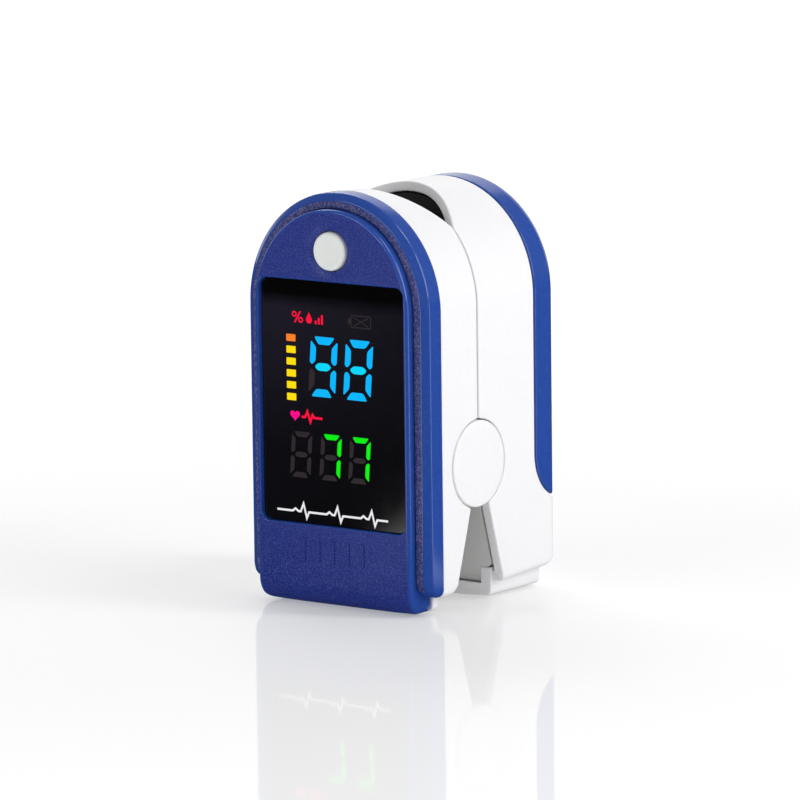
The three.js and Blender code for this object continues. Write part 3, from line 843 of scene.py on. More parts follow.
def cradle(side):
    """The inner frame of one half: flange, lever down one side of the V, trough and knuckles."""
    half = body_half - cradle_inset
    edge = front_gap_edge if side < 0 else rear_gap_edge
    foot = foot_level + (1.7 if side < 0 else 1.5)
    slope_start = pivot_height - 0.25 / front_gap_slope if side < 0 else pivot_height + 0.3 / rear_gap_slope
    depth = finger_depth_front if side < 0 else finger_depth_rear
    near, far, thick = side * flange_near, side * flange_far, side * wall
    lever_line = [(near, slope_start + 3), (near, slope_start), (edge(foot), foot)]
    lever_line += [(edge(foot) + thick, foot), (far, slope_start), (far, slope_start + 3)]
    lever = across_x(lever_line, -half, half)
    common(lever, slab(body_outline(cradle_inset, foot, 1.2), -beyond, beyond))
    flange = slab(body_outline(cradle_inset, slope_start, 0.5), *sorted((near, far)))
    own, other = (front_knuckles, rear_knuckles) if side < 0 else (rear_knuckles, front_knuckles)
    frame_body = join(flange, lever, trough(pad_thickness + gap + trough_wall, depth, side))
    join(frame_body, *hinge_rods(knuckle_radius, *own))
    if side > 0:
        toe = bay_floor + 0.15
        tab = [(edge(foot + 1), foot + 1), (edge(foot + 1) + thick, foot + 1), (edge(toe) + thick, toe)]
        join(frame_body, across_x(tab + [(edge(toe), toe)], -11.6, 11.6))
        cut(frame_body, *hinge_rods(2.85, rear_knuckles[1], beyond))
    cut(frame_body, finger_space(pad_thickness + gap, depth))
    cut(frame_body, rod(pin_radius + pin_clearance, -beyond, beyond, about_x()))
    room_end = beyond if side < 0 else other[1] + gap
    cut(frame_body, *hinge_rods(knuckle_radius + knuckle_clearance, other[0] - gap, room_end))
    cut(frame_body, rod(spring_room, -spring_room, spring_room, about_x()))
    cable_slot = box_between((-3.2, -3, 23), (3.2, 3, 24.6))
    cut(frame_body, cable_slot, lens_room(side))
    head_start = side * (flange_far - 0.45)
    holes = at_screws(lambda x, z: rod(screw_hole, *sorted((0, side * 8)), about_y(x, z), 24))
    heads = at_screws(lambda x, z: rod(head_hole, *sorted((0, head_start)), about_y(x, z), 32))
    return cut(frame_body, *holes, *heads)


def finger_pad(side):
    depth = finger_depth_front if side < 0 else finger_depth_rear
    return cut(trough(pad_thickness, depth, side), finger_space(0, depth), lens_room(side))


def sensor_lens(side):
    low, high = box_mm("emitter_window" if side < 0 else "sensor_window")
    return rod(lens_hole - gap, low.y, high.y, about_y(0, sensor_height), 64, ease=0.15)


def hinge_cap(side):
    inner = body_half - wall + 0.05
    edge = cap_radius
    boss_end = rear_knuckles[1] + gap
    profile = [(0, boss_end), (cap_boss, boss_end), (cap_boss, inner), (edge, inner)]
    for turn in quarter_turns(6):
        profile.append((edge - 0.3 * (1 - math.cos(turn)), cap_high.x - 0.35 + 0.3 * math.sin(turn)))
    profile += [(edge * 0.8, cap_high.x - 0.02), (edge * 0.5, cap_high.x - 0.005), (0, cap_high.x)]
    profile = [(radius, side * along) for radius, along in profile]
    return lathe(profile, about_x(), 128)


def battery(node):
    """An AAA cell: steel ends, a printed jacket with one plain band, and a nub at the end it points to."""
    low, high = box_mm(node)
    upwards = node == "battery_1"
    length = high.z - low.z
    radius = (high.x - low.x) / 2
    nub = 1.2
    shoulder = length - nub
    profile = [(0, 0), (radius - 1.2, 0), (radius - 1.1, 0.12), (radius - 0.45, 0.12)]
    profile.append((radius - 0.1, 0.3))
    profile += [(radius, 0.5), (radius, length * 0.7), (radius, shoulder - 0.5)]
    profile.append((radius - 0.12, shoulder - 0.25))
    profile += [(radius - 0.5, shoulder - 0.1), (radius - 0.9, shoulder - 0.3), (2.3, shoulder - 0.3)]
    profile += [(1.95, shoulder), (1.9, length - 0.25), (1.65, length), (0, length)]
    marks = [0, 0, 0, 1, 1, 1, 2, 2, 1, 0, 0, 0, 0, 0, 0]
    if upwards:
        points = [(r, low.z + along) for r, along in profile]
    else:
        points = [(r, high.z - along) for r, along in profile]
    middle_x = (low.x + high.x) / 2
    middle_y = (low.y + high.y) / 2
    return lathe(points, about_z(middle_x, middle_y), 96, marks)


def contact_spring(node):
    low, high = box_mm(node)
    middle_x = math.copysign(cell_offset, low.x + high.x)
    turns = 3
    steps = 40 * turns
    points = []
    for step in range(steps + 1):
        share = step / steps
        angle = share * turns * 2 * HALF_TURN
        radius = 3.2 - 1.2 * share
        z = low.z + 0.2 + (high.z - low.z - 0.4) * share
        points.append(Vector((middle_x + radius * math.cos(angle), cell_depth + radius * math.sin(angle), z)))
    return sweep(points, 0.2, 10)


def torsion_spring():
    """A coil round the pin whose legs cross the V and push the two levers apart."""
    wire_radius = 0.4
    coil_radius = 2.3
    half_length = 2.4
    reach = 11
    stand = wire_radius + gap
    front_tip = Vector((front_gap_edge(pivot_height - reach) + stand, -reach))
    rear_tip = Vector((rear_gap_edge(pivot_height - reach) - stand, -reach))
    start = math.atan2(front_tip.y, front_tip.x) + math.acos(coil_radius / front_tip.length)
    end = math.atan2(rear_tip.y, rear_tip.x) - math.acos(coil_radius / rear_tip.length)
    while end - start < 7.4 * HALF_TURN:
        end += 2 * HALF_TURN
    steps = 240
    coil = []
    for step in range(steps + 1):
        angle = start + (end - start) * step / steps
        x = half_length * (2 * step / steps - 1)
        out, up = coil_radius * math.cos(angle), coil_radius * math.sin(angle)
        coil.append(Vector((x, out, pivot_height + up)))
    first = Vector((-half_length, front_tip.x, pivot_height + front_tip.y))
    last = Vector((half_length, rear_tip.x, pivot_height + rear_tip.y))
    leg_in = [first.lerp(coil[0], step / 20) for step in range(20)]
    leg_out = [coil[-1].lerp(last, step / 20) for step in range(1, 21)]
    return sweep(leg_in + coil + leg_out, wire_radius, 14)


def smooth_line(points, steps):
    """A Catmull-Rom curve through (y, z) points."""
    line = []
    ends = [points[0]] + points + [points[-1]]
    for index in range(1, len(ends) - 2):
        a, b, c, d = (Vector(p) for p in ends[index - 1:index + 3])
        for step in range(steps):
            t = step / steps
            line.append(0.5 * (2 * b + (c - a) * t + (2 * a - 5 * b + 4 * c - d) * t**2
                               + (3 * b - a - 3 * c + d) * t**3))
    line.append(Vector(points[-1]))
    return line


def flex_cable():
    """The flat cable from the main board over the coil to the photodiode."""
    route = [(-7.85, 26), (-7.2, 24.4), (-3.5, 24), (0, 23.6)]
    route += [(3.5, 24), (6.4, 24.4), (7.05, 26), (7.05, 33)]
    line = smooth_line(route, 10)
    upper = []
    lower = []
    for index, point in enumerate(line):
        along = (line[min(index + 1, len(line) - 1)] - line[max(index - 1, 0)]).normalized()
        across = Vector((-along.y, along.x)) * 0.1
        upper.append(tuple(point + across))
        lower.append(tuple(point - across))
    bm = bmesh.new()
    rows = []
    for x in spread(-2.8, 2.8, 8):
        rows.append([bm.verts.new((x, y, z)) for y, z in upper + lower[::-1]])
    for first, second in zip(rows, rows[1:]):
        bridge(bm, first, second)
    bm.faces.new(rows[0])
    bm.faces.new(rows[-1])
    return to_object(bm)


def screw(node, side):
    low, high = box_mm(node)
    x = (low.x + high.x) / 2
    z = (low.z + high.z) / 2
    start = -0.5
    profile = [(0, start - 0.05), (0.5, start), (0.9, start - 0.08), (1.15, start - 0.3)]
    profile += [(1.25, start - 0.55), (1.25, start - 0.65), (0.7, start - 0.7)]
    pitch = 0.5
    along = start - 1.0
    while along > -6.0:
        profile += [(0.56, along), (0.7, along - pitch * 0.35), (0.7, along - pitch * 0.45)]
        along -= pitch
    profile += [(0.5, -6.3), (0.15, -6.8), (0, -6.8)]
    points = [(radius, along if side < 0 else -along) for radius, along in profile]
    made = lathe(points, about_y(x, z), 32)
    deep = sorted((side * 0.2, side * 0.95))
    slot_long = box_between((x - 0.75, deep[0], z - 0.14), (x + 0.75, deep[1], z + 0.14))
    slot_tall = box_between((x - 0.14, deep[0], z - 0.75), (x + 0.14, deep[1], z + 0.75))
    return cut(made, slot_long, slot_tall)


# ------------------------------------------------------------------ what the display shows


def rounded(points, radius):
    """The polygon with each corner drawn as a small curve."""
    steps = 4
    made = []
    count = len(points)
    for index in range(count):
        corner = Vector(points[index])
        before = Vector(points[index - 1]) - corner
        after = Vector(points[(index + 1) % count]) - corner
        reach = min(radius, before.length * 0.45, after.length * 0.45)
        start = corner + before.normalized() * reach
        end = corner + after.normalized() * reach
        for step in range(steps + 1):
            t = step / steps
            made.append(tuple(start * (1 - t) ** 2 + corner * 2 * t * (1 - t) + end * t**2))
    return made


def inlay(shapes):
    """Flat shapes of (x, z) points let into the window's face, which they stand just proud of."""
    lift = 0.012
    bm = bmesh.new()
    for shape in shapes:
        front = ring(bm, shape, window_face - lift)
        back = ring(bm, shape, window_face + 0.05)
        bridge(bm, front, back)
        bm.faces.new(front)
        bm.faces.new(back)
    return to_object(bm)


def digit(left, right, bottom, top, stroke, slant):
    """The seven segments of one digit, named a to g as is usual."""
    middle = (bottom + top) / 2
    space = stroke * 0.16
    half = stroke / 2
    high, low = top - space, bottom + space
    inner_left, inner_right = left + stroke, right - stroke
    edge = stroke * 0.75
    notch, half_notch = stroke * 0.95, half * 0.95
    shapes = {
        "a": [(left + space * 3, top), (right - space * 3, top),
              (inner_right - space, top - notch), (inner_left + space, top - notch)],
        "d": [(inner_left + space, bottom + notch), (inner_right - space, bottom + notch),
              (right - space * 3, bottom), (left + space * 3, bottom)],
        "g": [(left + edge, middle), (inner_left + space * 2, middle + half_notch),
              (inner_right - space * 2, middle + half_notch), (right - edge, middle),
              (inner_right - space * 2, middle - half_notch), (inner_left + space * 2, middle - half_notch)],
        "f": [(left, high - space * 2), (inner_left - space, high - stroke - space),
              (inner_left - space, middle + half + space), (left + half * 0.7, middle + space * 1.5),
              (left, middle + half)],
        "e": [(left, low + space * 2), (left, middle - half), (left + half * 0.7, middle - space * 1.5),
              (inner_left - space, middle - half - space), (inner_left - space, low + stroke + space)],
    }
    for own, other in (("b", "f"), ("c", "e")):
        shapes[own] = [(left + right - x, z) for x, z in reversed(shapes[other])]
    leaning = {}
    for name, points in shapes.items():
        leaning[name] = rounded([(x + slant * (z - middle), z) for x, z in points], stroke * 0.3)
    return leaning


def line_shape(points, width):
    """A zigzag line of even width, as one closed shape."""
    left = []
    right = []
    count = len(points)
    for index, point in enumerate(points):
        here = Vector(point)
        into = (here - Vector(points[index - 1])).normalized() if index else None
        out = (Vector(points[index + 1]) - here).normalized() if index + 1 < count else None
        way = ((into or out) + (out or into)).normalized()
        across = Vector((-way.y, way.x))
        share = max(0.35, across.dot(Vector((-(out or into).y, (out or into).x))))
        left.append(tuple(here + across * width / 2 / share))
        right.append(tuple(here - across * width / 2 / share))
    return left + right[::-1]


def block(left, right, bottom, top):
    return [(left, bottom), (right, bottom), (right, top), (left, top)]


def loop_shapes(x, z, radius_x, radius_z, width):
    """A small ring, as two half rings."""
    shapes = []
    for start in (0, HALF_TURN):
        outer = arc(x, z, radius_x, radius_z, start, start + HALF_TURN, 12)
        inner = arc(x, z, radius_x - width, radius_z - width, start, start + HALF_TURN, 12)
        shapes.append(outer + inner[::-1])
    return shapes


def percent_and_drop():
    low, high = 39.9, 41.5
    shapes = [[(-6.75, low), (-6.45, low), (-5.45, high), (-5.75, high)]]
    shapes += loop_shapes(-6.65, high - 0.42, 0.42, 0.42, 0.2)
    shapes += loop_shapes(-5.55, low + 0.42, 0.42, 0.42, 0.2)
    drop = arc(-4.1, low + 0.52, 0.52, 0.52, -1.25 * HALF_TURN + 0.3, 0.25 * HALF_TURN - 0.3, 16)
    shapes.append(drop + [(-4.1, high)])
    for index in range(3):
        left = -3.1 + index * 0.55
        shapes.append(block(left, left + 0.32, low, low + 0.5 + 0.42 * index))
    return shapes


def heart_shape():
    points = []
    steps = 40
    for step in range(steps):
        t = 2 * HALF_TURN * step / steps
        x = 16 * math.sin(t) ** 3
        z = 13 * math.cos(t) - 5 * math.cos(2 * t) - 2 * math.cos(3 * t) - math.cos(4 * t)
        points.append((-6.75 + x * 0.052, 26.85 + z * 0.05))
    return points


def beat_line():
    points = [(-5.6, 26.7), (-5.0, 26.7), (-4.6, 27.5), (-4.1, 26.1)]
    points += [(-3.7, 27.1), (-3.4, 26.7), (-2.0, 26.7)]
    return line_shape(points, 0.34)


def pulse_line():
    """A printed pulse wave with three beats."""
    middle = 13.3
    points = [(-10.1, middle)]
    for beat in range(3):
        start = -7.4 + beat * 5.9
        wave = [(0, 0), (0.5, 0.35), (1.0, 0), (1.4, 0), (1.9, 1.15), (2.45, -0.85), (2.85, 0)]
        points += [(start + along, middle + rise) for along, rise in wave]
    points.append((9.1, middle))
    return line_shape(points, 0.3)


def battery_icon():
    left, right, low, high, width = 3.1, 6.6, 39.85, 41.65, 0.16
    shapes = [block(left, right, high - width, high), block(left, right, low, low + width)]
    shapes += [block(left, left + width, low, high), block(right - width, right, low, high)]
    shapes.append(block(left - 0.45, left, low + 0.5, high - 0.5))
    shapes.append(line_shape([(left + 0.5, low + 0.3), (right - 0.5, high - 0.3)], width))
    shapes.append(line_shape([(left + 0.5, high - 0.3), (right - 0.5, low + 0.3)], width))
    return shapes


def display_marks():
    """Every lit and unlit mark, by the name of its piece."""
    nine = digit(-4.1, 0.55, 29.75, 38.2, 1.15, 0.075)
    eight = digit(1.95, 6.65, 29.75, 38.2, 1.15, 0.075)
    cells = [digit(left, left + 3.55, 18.1, 24.6, 0.8, 0.075) for left in (-7.55, -2.45, 2.55)]
    upper = [shape for name, shape in nine.items() if name not in "eg"]
    upper += [shape for name, shape in eight.items() if name != "g"]
    lower = [cell[name] for cell in cells[1:] for name in "abc"]
    unlit = [nine["e"]] + list(cells[0].values())
    unlit += [cell[name] for cell in cells[1:] for name in "defg"]
    bars = [rounded(block(-8.1, -6.5, z - 0.5, z + 0.5), 0.12) for z in spread(29.4, 37.7, 5)]
    return {
        "display_digits_upper": (upper, "led_blue"),
        "display_bars_middle": ([nine["g"], eight["g"]], "led_cyan"),
        "display_digits_lower": (lower, "led_green"),
        "display_segments_unlit": (unlit + battery_icon(), "led_unlit_painted_glow"),
        "display_level": (bars[:5], "led_yellow"),
        "display_level_top": (bars[5:], "led_orange"),
        "display_percent": (percent_and_drop(), "led_red"),
        "display_beat": ([beat_line()], "led_red"),
        "display_heart": ([heart_shape()], "led_pink"),
        "display_pulse_print": ([pulse_line()], "print_white_painted_glow"),
    }


# ------------------------------------------------------------------ finishes


def linear(red, green, blue):
    """A screen colour of 0 to 255 as the linear colour that shaders take."""
    made = []
    for value in (red, green, blue):
        share = value / 255
        made.append(share / 12.92 if share <= 0.04045 else ((share + 0.055) / 1.055) ** 2.4)
    return (*made, 1.0)


def set_inputs(tree, node, inputs):
    """Sets inputs to plain values, or links them to other nodes' sockets."""
    for name, value in inputs.items():
        if isinstance(value, bpy.types.NodeSocket):
            tree.links.new(value, node.inputs[name])
        else:
            node.inputs[name].default_value = value


def add_node(tree, kind, inputs, operation=None):
    node = tree.nodes.new(kind)
    if operation:
        node.operation = operation
    set_inputs(tree, node, inputs)
    return node


def map_range(tree, value, from_low, from_high, to_low, to_high):
    names = ("Value", "From Min", "From Max", "To Min", "To Max")
    inputs = dict(zip(names, (value, from_low, from_high, to_low, to_high)))
    return add_node(tree, "ShaderNodeMapRange", inputs).outputs["Result"]


def colour_ramp(tree, value, stops):
    """Colours at places from 0 to 1 along value; stops are (place, colour)."""
    node = add_node(tree, "ShaderNodeValToRGB", {"Fac": value})
    steps = node.color_ramp.elements
    for place, colour in stops[1:-1]:
        steps.new(place).color = colour
    for index in (0, -1):
        steps[index].position, steps[index].color = stops[index]
    return node.outputs["Color"]


def grained(name, base, speck, roughness, grain_mm, bump_mm, specks=(0.5, 0.7), **sockets):
    """A moulded surface: fine grain in its colour, its gloss and its height."""
    made = bpy.data.materials.new(name)
    made.use_nodes = True
    tree = made.node_tree
    place = tree.nodes.new("ShaderNodeTexCoord").outputs["Object"]
    noise = {"Scale": 1 / (grain_mm * MM), "Detail": 3, "Vector": place}
    grain = add_node(tree, "ShaderNodeTexNoise", noise).outputs["Fac"]
    relief = add_node(tree, "ShaderNodeBump", {"Distance": bump_mm * MM, "Strength": 1.0, "Height": grain})
    inputs = {
        "Base Color": colour_ramp(tree, grain, [(specks[0], base), (specks[1], speck)]),
        "Roughness": map_range(tree, grain, 0.3, 0.7, roughness * 0.85, min(1.0, roughness * 1.2)),
        "Normal": relief.outputs["Normal"],
    }
    inputs.update({socket.replace("_", " "): value for socket, value in sockets.items()})
    set_inputs(tree, tree.nodes["Principled BSDF"], inputs)
    return made


def lit(name, colour, strength=1.0):
    """A segment under the window's polished face that gives off its colour: real light for the lit LEDs, a
    painted glow for the unlit segments and the white print.
    """
    black = (0.004, 0.004, 0.005, 1)
    light = {"Emission_Color": colour, "Emission_Strength": strength, "Specular_IOR_Level": 0.25}
    return grained(name, black, black, 0.2, 0.6, 0.001, **light)


def window_with_painted_light():
    """Tinted plastic whose colour holds painted light: a painted shadow, black along its top; a painted dim
    grey reflection across the middle, darker again below; and painted shading from lighter at the left to
    darker at the right.
    """
    made = grained("window_plastic", linear(8, 6, 12), linear(10, 8, 15), 0.1, 2.0, 0.0004)
    tree = made.node_tree
    place = tree.nodes["Texture Coordinate"].outputs["Object"]
    split = add_node(tree, "ShaderNodeSeparateXYZ", {"Vector": place})
    rise = map_range(tree, split.outputs["Z"], window_bottom * MM, window_top * MM, 0.0, 1.0)
    # painted light by height: dark below, a painted grey reflection high up and a painted black shadow along
    # the top
    stops = [(0.0, linear(9, 9, 14)), (0.3, linear(11, 10, 16)), (0.88, linear(30, 27, 38))]
    painted_shadow_and_reflection = colour_ramp(tree, rise, stops + [(0.94, linear(1, 1, 1))])
    # painted shading across the window: lighter at the left, darker at the right
    across = map_range(tree, split.outputs["X"], -window_half * MM, window_half * MM, 1.25, 0.7)
    shade = add_node(tree, "ShaderNodeVectorMath", {0: painted_shadow_and_reflection, "Scale": across}, "SCALE")
    set_inputs(tree, tree.nodes["Principled BSDF"], {"Base Color": shade.outputs["Vector"]})
    return made


def finishes():
    """Every finish by its name: base and speck colours, roughness, grain and bump in millimetres."""
    low_gloss = {"Specular_IOR_Level": 0.4}
    grainy = {"specks": (0.48, 0.68), **low_gloss}
    metal = {"Metallic": 1.0}
    moulded = {
        "blue_smooth": ((36, 72, 156), (40, 78, 162), 0.15, 0.5, 0.001, {"Specular_IOR_Level": 0.65}),
        "blue_face": ((17, 40, 131), (66, 84, 170), 0.36, 0.15, 0.03, grainy),
        "blue_band": ((42, 50, 116), (128, 126, 176), 0.46, 0.16, 0.035, grainy),
        "white_plastic": ((240, 240, 242), (243, 243, 244), 0.34, 0.4, 0.002, {}),
        "button_plastic": ((241, 245, 242), (243, 247, 244), 0.34, 0.4, 0.002, {}),
        "inner_plastic": ((206, 207, 205), (212, 212, 211), 0.5, 0.3, 0.006, {}),
        "silicone": ((9, 9, 10), (14, 14, 15), 0.62, 0.2, 0.01, low_gloss),
        "lens_plastic": ((120, 20, 34), (128, 24, 38), 0.1, 1.0, 0.001, {"Coat_Weight": 0.5}),
        "black_plastic": ((26, 26, 28), (36, 36, 38), 0.5, 0.2, 0.01, {}),
        "circuit_board": ((22, 84, 48), (28, 98, 56), 0.4, 1.2, 0.006, {}),
        "copper_film": ((176, 108, 44), (186, 118, 52), 0.32, 0.8, 0.004, {}),
        "steel": ((190, 192, 196), (206, 208, 210), 0.26, 0.3, 0.003, metal),
        "contact_metal": ((206, 204, 196), (220, 219, 212), 0.2, 0.3, 0.002, metal),
        "cell_jacket": ((30, 33, 38), (36, 39, 44), 0.28, 2.5, 0.001, {"Coat_Weight": 0.4}),
        "cell_band": ((196, 120, 40), (204, 130, 48), 0.25, 2.5, 0.001, {"Metallic": 0.6}),
    }
    # lit() makes every colour here give off light: real light for the LEDs, a painted glow for the white
    # print
    segments = {
        "led_blue": (0, 182, 255), "led_cyan": (0, 214, 255), "led_green": (0, 238, 10),
        "led_yellow": (255, 222, 6), "led_orange": (255, 128, 36), "led_red": (255, 12, 62),
        "led_pink": (255, 0, 138), "print_white_painted_glow": (232, 232, 236),
    }
    # the unlit segments get a faint painted glow, not light of their own
    made = {"window": window_with_painted_light(), "led_unlit_painted_glow": lit("led_unlit_painted_glow", linear(46, 40, 43), 0.9)}
    for name, (base, speck, roughness, grain, bump, extra) in moulded.items():
        made[name] = grained(name, linear(*base), linear(*speck), roughness, grain, bump, **extra)
    for name, colour in segments.items():
        made[name] = lit(name, linear(*colour))
    return made


# ------------------------------------------------------------------ pieces

finish = finishes()


def piece(made, name, body, looks, nodes=()):
    """Puts a finished shape into the frame's own metres and onto its body."""
    made.name = name
    made.data.name = name
    made.data.transform(Matrix.Translation((0, parting_y, 0)) @ Matrix.Scale(MM, 4))
    while len(made.data.materials) > len(looks):
        made.data.materials.pop()
    for index, look in enumerate(looks):
        made.data.materials[index] = finish[look]
    made.data.shade_smooth()
    made.data.set_sharp_from_angle(angle=math.radians(32))
    even = made.modifiers.new("even_normals", "WEIGHTED_NORMAL")
    even.keep_sharp = True
    if body:
        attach(made, body)
    if nodes:
        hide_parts(*nodes)
    return made


piece(front_cover(), "cover_front", "front_half", ["blue_smooth", "blue_face", "blue_band"],
      ["front_cover"])
piece(display_window(), "window_front", "front_half", ["window"], ["display_window"])
for mark_name, (mark_shapes, mark_look) in display_marks().items():
    piece(inlay(mark_shapes), mark_name, "front_half", [mark_look])
piece(power_button(), "button_power", "power_button", ["button_plastic"], ["power_button"])

for half_name, half_side, shell, lens_name in (
    ("front", -1, front_shell, "emitter"), ("rear", 1, rear_shell, "sensor"),
):
    half_body = f"{half_name}_half"
    for part_shape, part_name, part_slot, part_node in (
        (shell(), f"shell_{half_name}", "white_plastic", f"{half_name}_shell"),
        (cradle(half_side), f"cradle_{half_name}", "inner_plastic", f"{half_name}_cradle"),
        (finger_pad(half_side), f"pad_{half_name}", "silicone", f"{half_name}_finger_pad"),
        (sensor_lens(half_side), f"lens_{lens_name}", "lens_plastic", f"{lens_name}_window"),
    ):
        piece(part_shape, part_name, half_body, [part_slot], [part_node])
for cap_side, cap_name in ((-1, "left"), (1, "right")):
    piece(hinge_cap(cap_side), f"cap_{cap_name}", "rear_half", ["white_plastic"],
          [f"hinge_cap_{cap_name}"])
pin = rod(pin_radius, -rear_knuckles[1], rear_knuckles[1], about_x(), 48, ease=0.2)
piece(pin, "pin_hinge", "rear_half", ["steel"], ["hinge_pin"])
for number in (1, 2):
    piece(battery(f"battery_{number}"), f"cell_{number}", "rear_half",
          ["contact_metal", "cell_jacket", "cell_band"], [f"battery_{number}"])
    spring_name = f"contact_spring_{number}"
    piece(contact_spring(spring_name), f"spring_contact_{number}", "rear_half",
          ["contact_metal"], [spring_name])
for number in range(1, 5):
    for half_name, half_side in (("front", -1), ("rear", 1)):
        node_name = f"{half_name}_screw_{number}"
        piece(screw(node_name, half_side), f"screw_{half_name}_{number}", f"{half_name}_half",
              ["steel"], [node_name])
piece(battery_cover(), "cover_rear", "battery_door", ["blue_smooth", "blue_face"],
      ["battery_cover"])

coil = piece(torsion_spring(), "spring_torsion", None, ["steel"], ["torsion_spring"])
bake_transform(coil)
flex = piece(flex_cable(), "flex_film", None, ["copper_film"], ["flex_cable"])
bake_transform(flex)

kept_looks = {
    "black_plastic": ("button_switch", "led_display", "controller_chip", "led_emitter", "photodiode"),
    "circuit_board": ("main_board",),
    "contact_metal": ("contact_plate_1", "contact_plate_2"),
}
for kept_look, kept_names in kept_looks.items():
    for kept_name in kept_names:
        kept = frame["nodes"][kept_name]
        kept.data.materials.clear()
        kept.data.materials.append(finish[kept_look])

# ------------------------------------------------------------------ camera, floor and light

YAW, PITCH, ROLL = math.radians(36.3006), math.radians(8.9697), math.radians(-0.6892)
camera_data = bpy.data.cameras.new("camera")
camera_data.lens = 272.31
camera_data.sensor_width = 36
camera_data.clip_start = 0.01
camera_data.clip_end = 50
camera = bpy.data.objects.new("camera", camera_data)
bpy.context.scene.collection.objects.link(camera)
forward = Vector((-math.sin(YAW) * math.cos(PITCH), math.cos(YAW) * math.cos(PITCH), -math.sin(PITCH)))
level = Vector((math.cos(YAW), math.sin(YAW), 0))
upward = level.cross(forward)
across = level * math.cos(ROLL) + upward * math.sin(ROLL)
upright = upward * math.cos(ROLL) - level * math.sin(ROLL)
turned = Matrix((across, upright, -forward)).transposed().to_4x4()
camera.matrix_world = Matrix.Translation((0.49729, -0.67717, 0.16002)) @ turned
bpy.context.scene.camera = camera


def staged(name, corners):
    """A flat four-cornered piece of the set with an empty finish, and that finish's node tree."""
    mesh = bpy.data.meshes.new(name)
    mesh.from_pydata(corners, [], [(0, 1, 2, 3)])
    made = bpy.data.objects.new(name, mesh)
    bpy.context.scene.collection.objects.link(made)
    look = bpy.data.materials.new(name)
    look.use_nodes = True
    look.node_tree.nodes.remove(look.node_tree.nodes["Principled BSDF"])
    mesh.materials.append(look)
    return made, look.node_tree


def finish_with(tree, shader):
    """Sends a shader node to the output of a finish."""
    set_inputs(tree, tree.nodes["Material Output"], {"Surface": shader.outputs[0]})


floor_half = 8.0
floor_corners = [(-floor_half, -floor_half, 0), (floor_half, -floor_half, 0)]
floor_corners += [(floor_half, floor_half, 0), (-floor_half, floor_half, 0)]
floor, floor_tree = staged("floor", floor_corners)
floor.location.z = -0.00002
floor_place = floor_tree.nodes.new("ShaderNodeTexCoord").outputs["Object"]


def floor_sheen(azimuth, strength):
    """Brightness of the floor around one bearing, as only reflections see it."""
    turn = math.radians(azimuth)
    bearing = add_node(floor_tree, "ShaderNodeVectorMath", {0: floor_place}, "NORMALIZE").outputs["Vector"]
    sides = {0: bearing, 1: (math.sin(turn), -math.cos(turn), 0)}
    aligned = add_node(floor_tree, "ShaderNodeVectorMath", sides, "DOT_PRODUCT").outputs["Value"]
    return map_range(floor_tree, aligned, 0.98, 0.995, 0.0, strength)


floor_reach = add_node(floor_tree, "ShaderNodeVectorMath", {0: floor_place}, "LENGTH").outputs["Value"]
floor_near = map_range(floor_tree, floor_reach, 0.025, 0.07, 0.0, 1.0)
both_sheens = {0: floor_sheen(-14, 2.0), 1: floor_sheen(108, 3.0)}
lines = add_node(floor_tree, "ShaderNodeMath", both_sheens, "ADD").outputs["Value"]
sheen_terms = {0: lines, 1: floor_near, 2: 0.03}
sheen = add_node(floor_tree, "ShaderNodeMath", sheen_terms, "MULTIPLY_ADD").outputs["Value"]
glow_rise = map_range(floor_tree, floor_reach, 0.08, 0.6, 0.31, 0.66)
matte = add_node(floor_tree, "ShaderNodeBsdfDiffuse", {"Color": (0.64, 0.64, 0.64, 1)})
polish = add_node(floor_tree, "ShaderNodeBsdfGlossy", {"Roughness": 0.04})
glow = add_node(floor_tree, "ShaderNodeEmission", {"Strength": glow_rise})
mixed = add_node(floor_tree, "ShaderNodeMixShader", {"Fac": 0.2, 1: matte.outputs[0], 2: polish.outputs[0]})
added = add_node(floor_tree, "ShaderNodeAddShader", {0: mixed.outputs[0], 1: glow.outputs[0]})
reflected = add_node(floor_tree, "ShaderNodeEmission", {"Strength": sheen})
floor_rays = floor_tree.nodes.new("ShaderNodeLightPath").outputs
floor_choice = {"Fac": floor_rays["Is Glossy Ray"], 1: added.outputs[0], 2: reflected.outputs[0]}
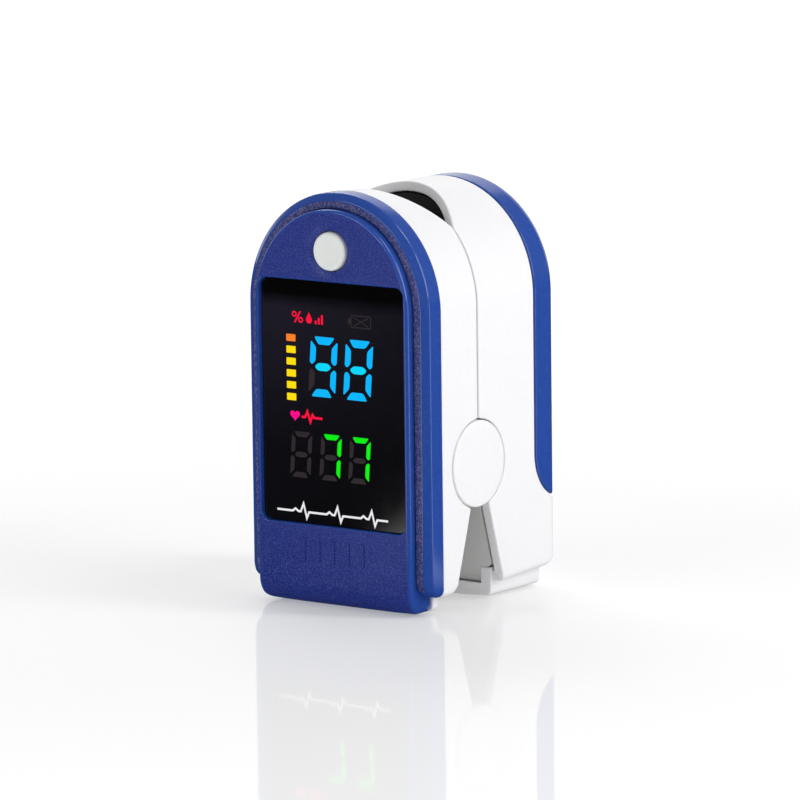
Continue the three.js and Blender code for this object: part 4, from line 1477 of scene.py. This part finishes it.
finish_with(floor_tree, add_node(floor_tree, "ShaderNodeMixShader", floor_choice))

world = bpy.data.worlds.new("studio")
world.use_nodes = True
world.cycles.sampling_method = "NONE"
sky = world.node_tree
rays = sky.nodes.new("ShaderNodeLightPath").outputs
lighting = map_range(sky, rays["Is Glossy Ray"], 0.0, 1.0, 0.45, 0.15)
# rays straight from the camera see a plain white studio
brightness = map_range(sky, rays["Is Camera Ray"], 0.0, 1.0, lighting, 1.0)
set_inputs(sky, sky.nodes["Background"], {"Color": (1, 1, 1, 1), "Strength": brightness})
bpy.context.scene.world = world
bpy.context.scene.view_settings.view_transform = "Standard"

OBJECT_MIDDLE = Vector((0, 0, 0.03))


def softbox(name, azimuth, elevation, distance, width, height, radiance):
    """A soft area light at a bearing from the object: 0 is in front of the display, 90 to its right."""
    data = bpy.data.lights.new(name, "AREA")
    data.shape = "RECTANGLE"
    data.size = width
    data.size_y = height
    data.energy = radiance * HALF_TURN * width * height
    light = bpy.data.objects.new(name, data)
    turn, lift = math.radians(azimuth), math.radians(elevation)
    way = Vector((math.sin(turn) * math.cos(lift), -math.cos(turn) * math.cos(lift), math.sin(lift)))
    light.location = OBJECT_MIDDLE + way * distance
    light.rotation_mode = "QUATERNION"
    light.rotation_quaternion = (-way).to_track_quat("-Z", "Y")
    bpy.context.scene.collection.objects.link(light)


softbox("key_right", 100, 24, 0.8, 0.5, 0.5, 3.6)
softbox("low_front", -18, 23, 0.9, 0.5, 0.05, 14.0)
softbox("top_right", 108, 58, 0.9, 0.1, 0.3, 14.0)
softbox("back_left", 230, 45, 0.9, 0.5, 0.2, 6.0)

card_half, card_height, card_distance = 3.0, 2.5, 3.2
card_way = Vector((forward.x, forward.y, 0)).normalized()
card_side = level * card_half
card_foot = card_way * card_distance
card = [card_foot - card_side, card_foot + card_side]
card += [corner + Vector((0, 0, card_height)) for corner in reversed(card)]
backdrop, card_tree = staged("backdrop", card)
finish_with(card_tree, add_node(card_tree, "ShaderNodeEmission", {}))
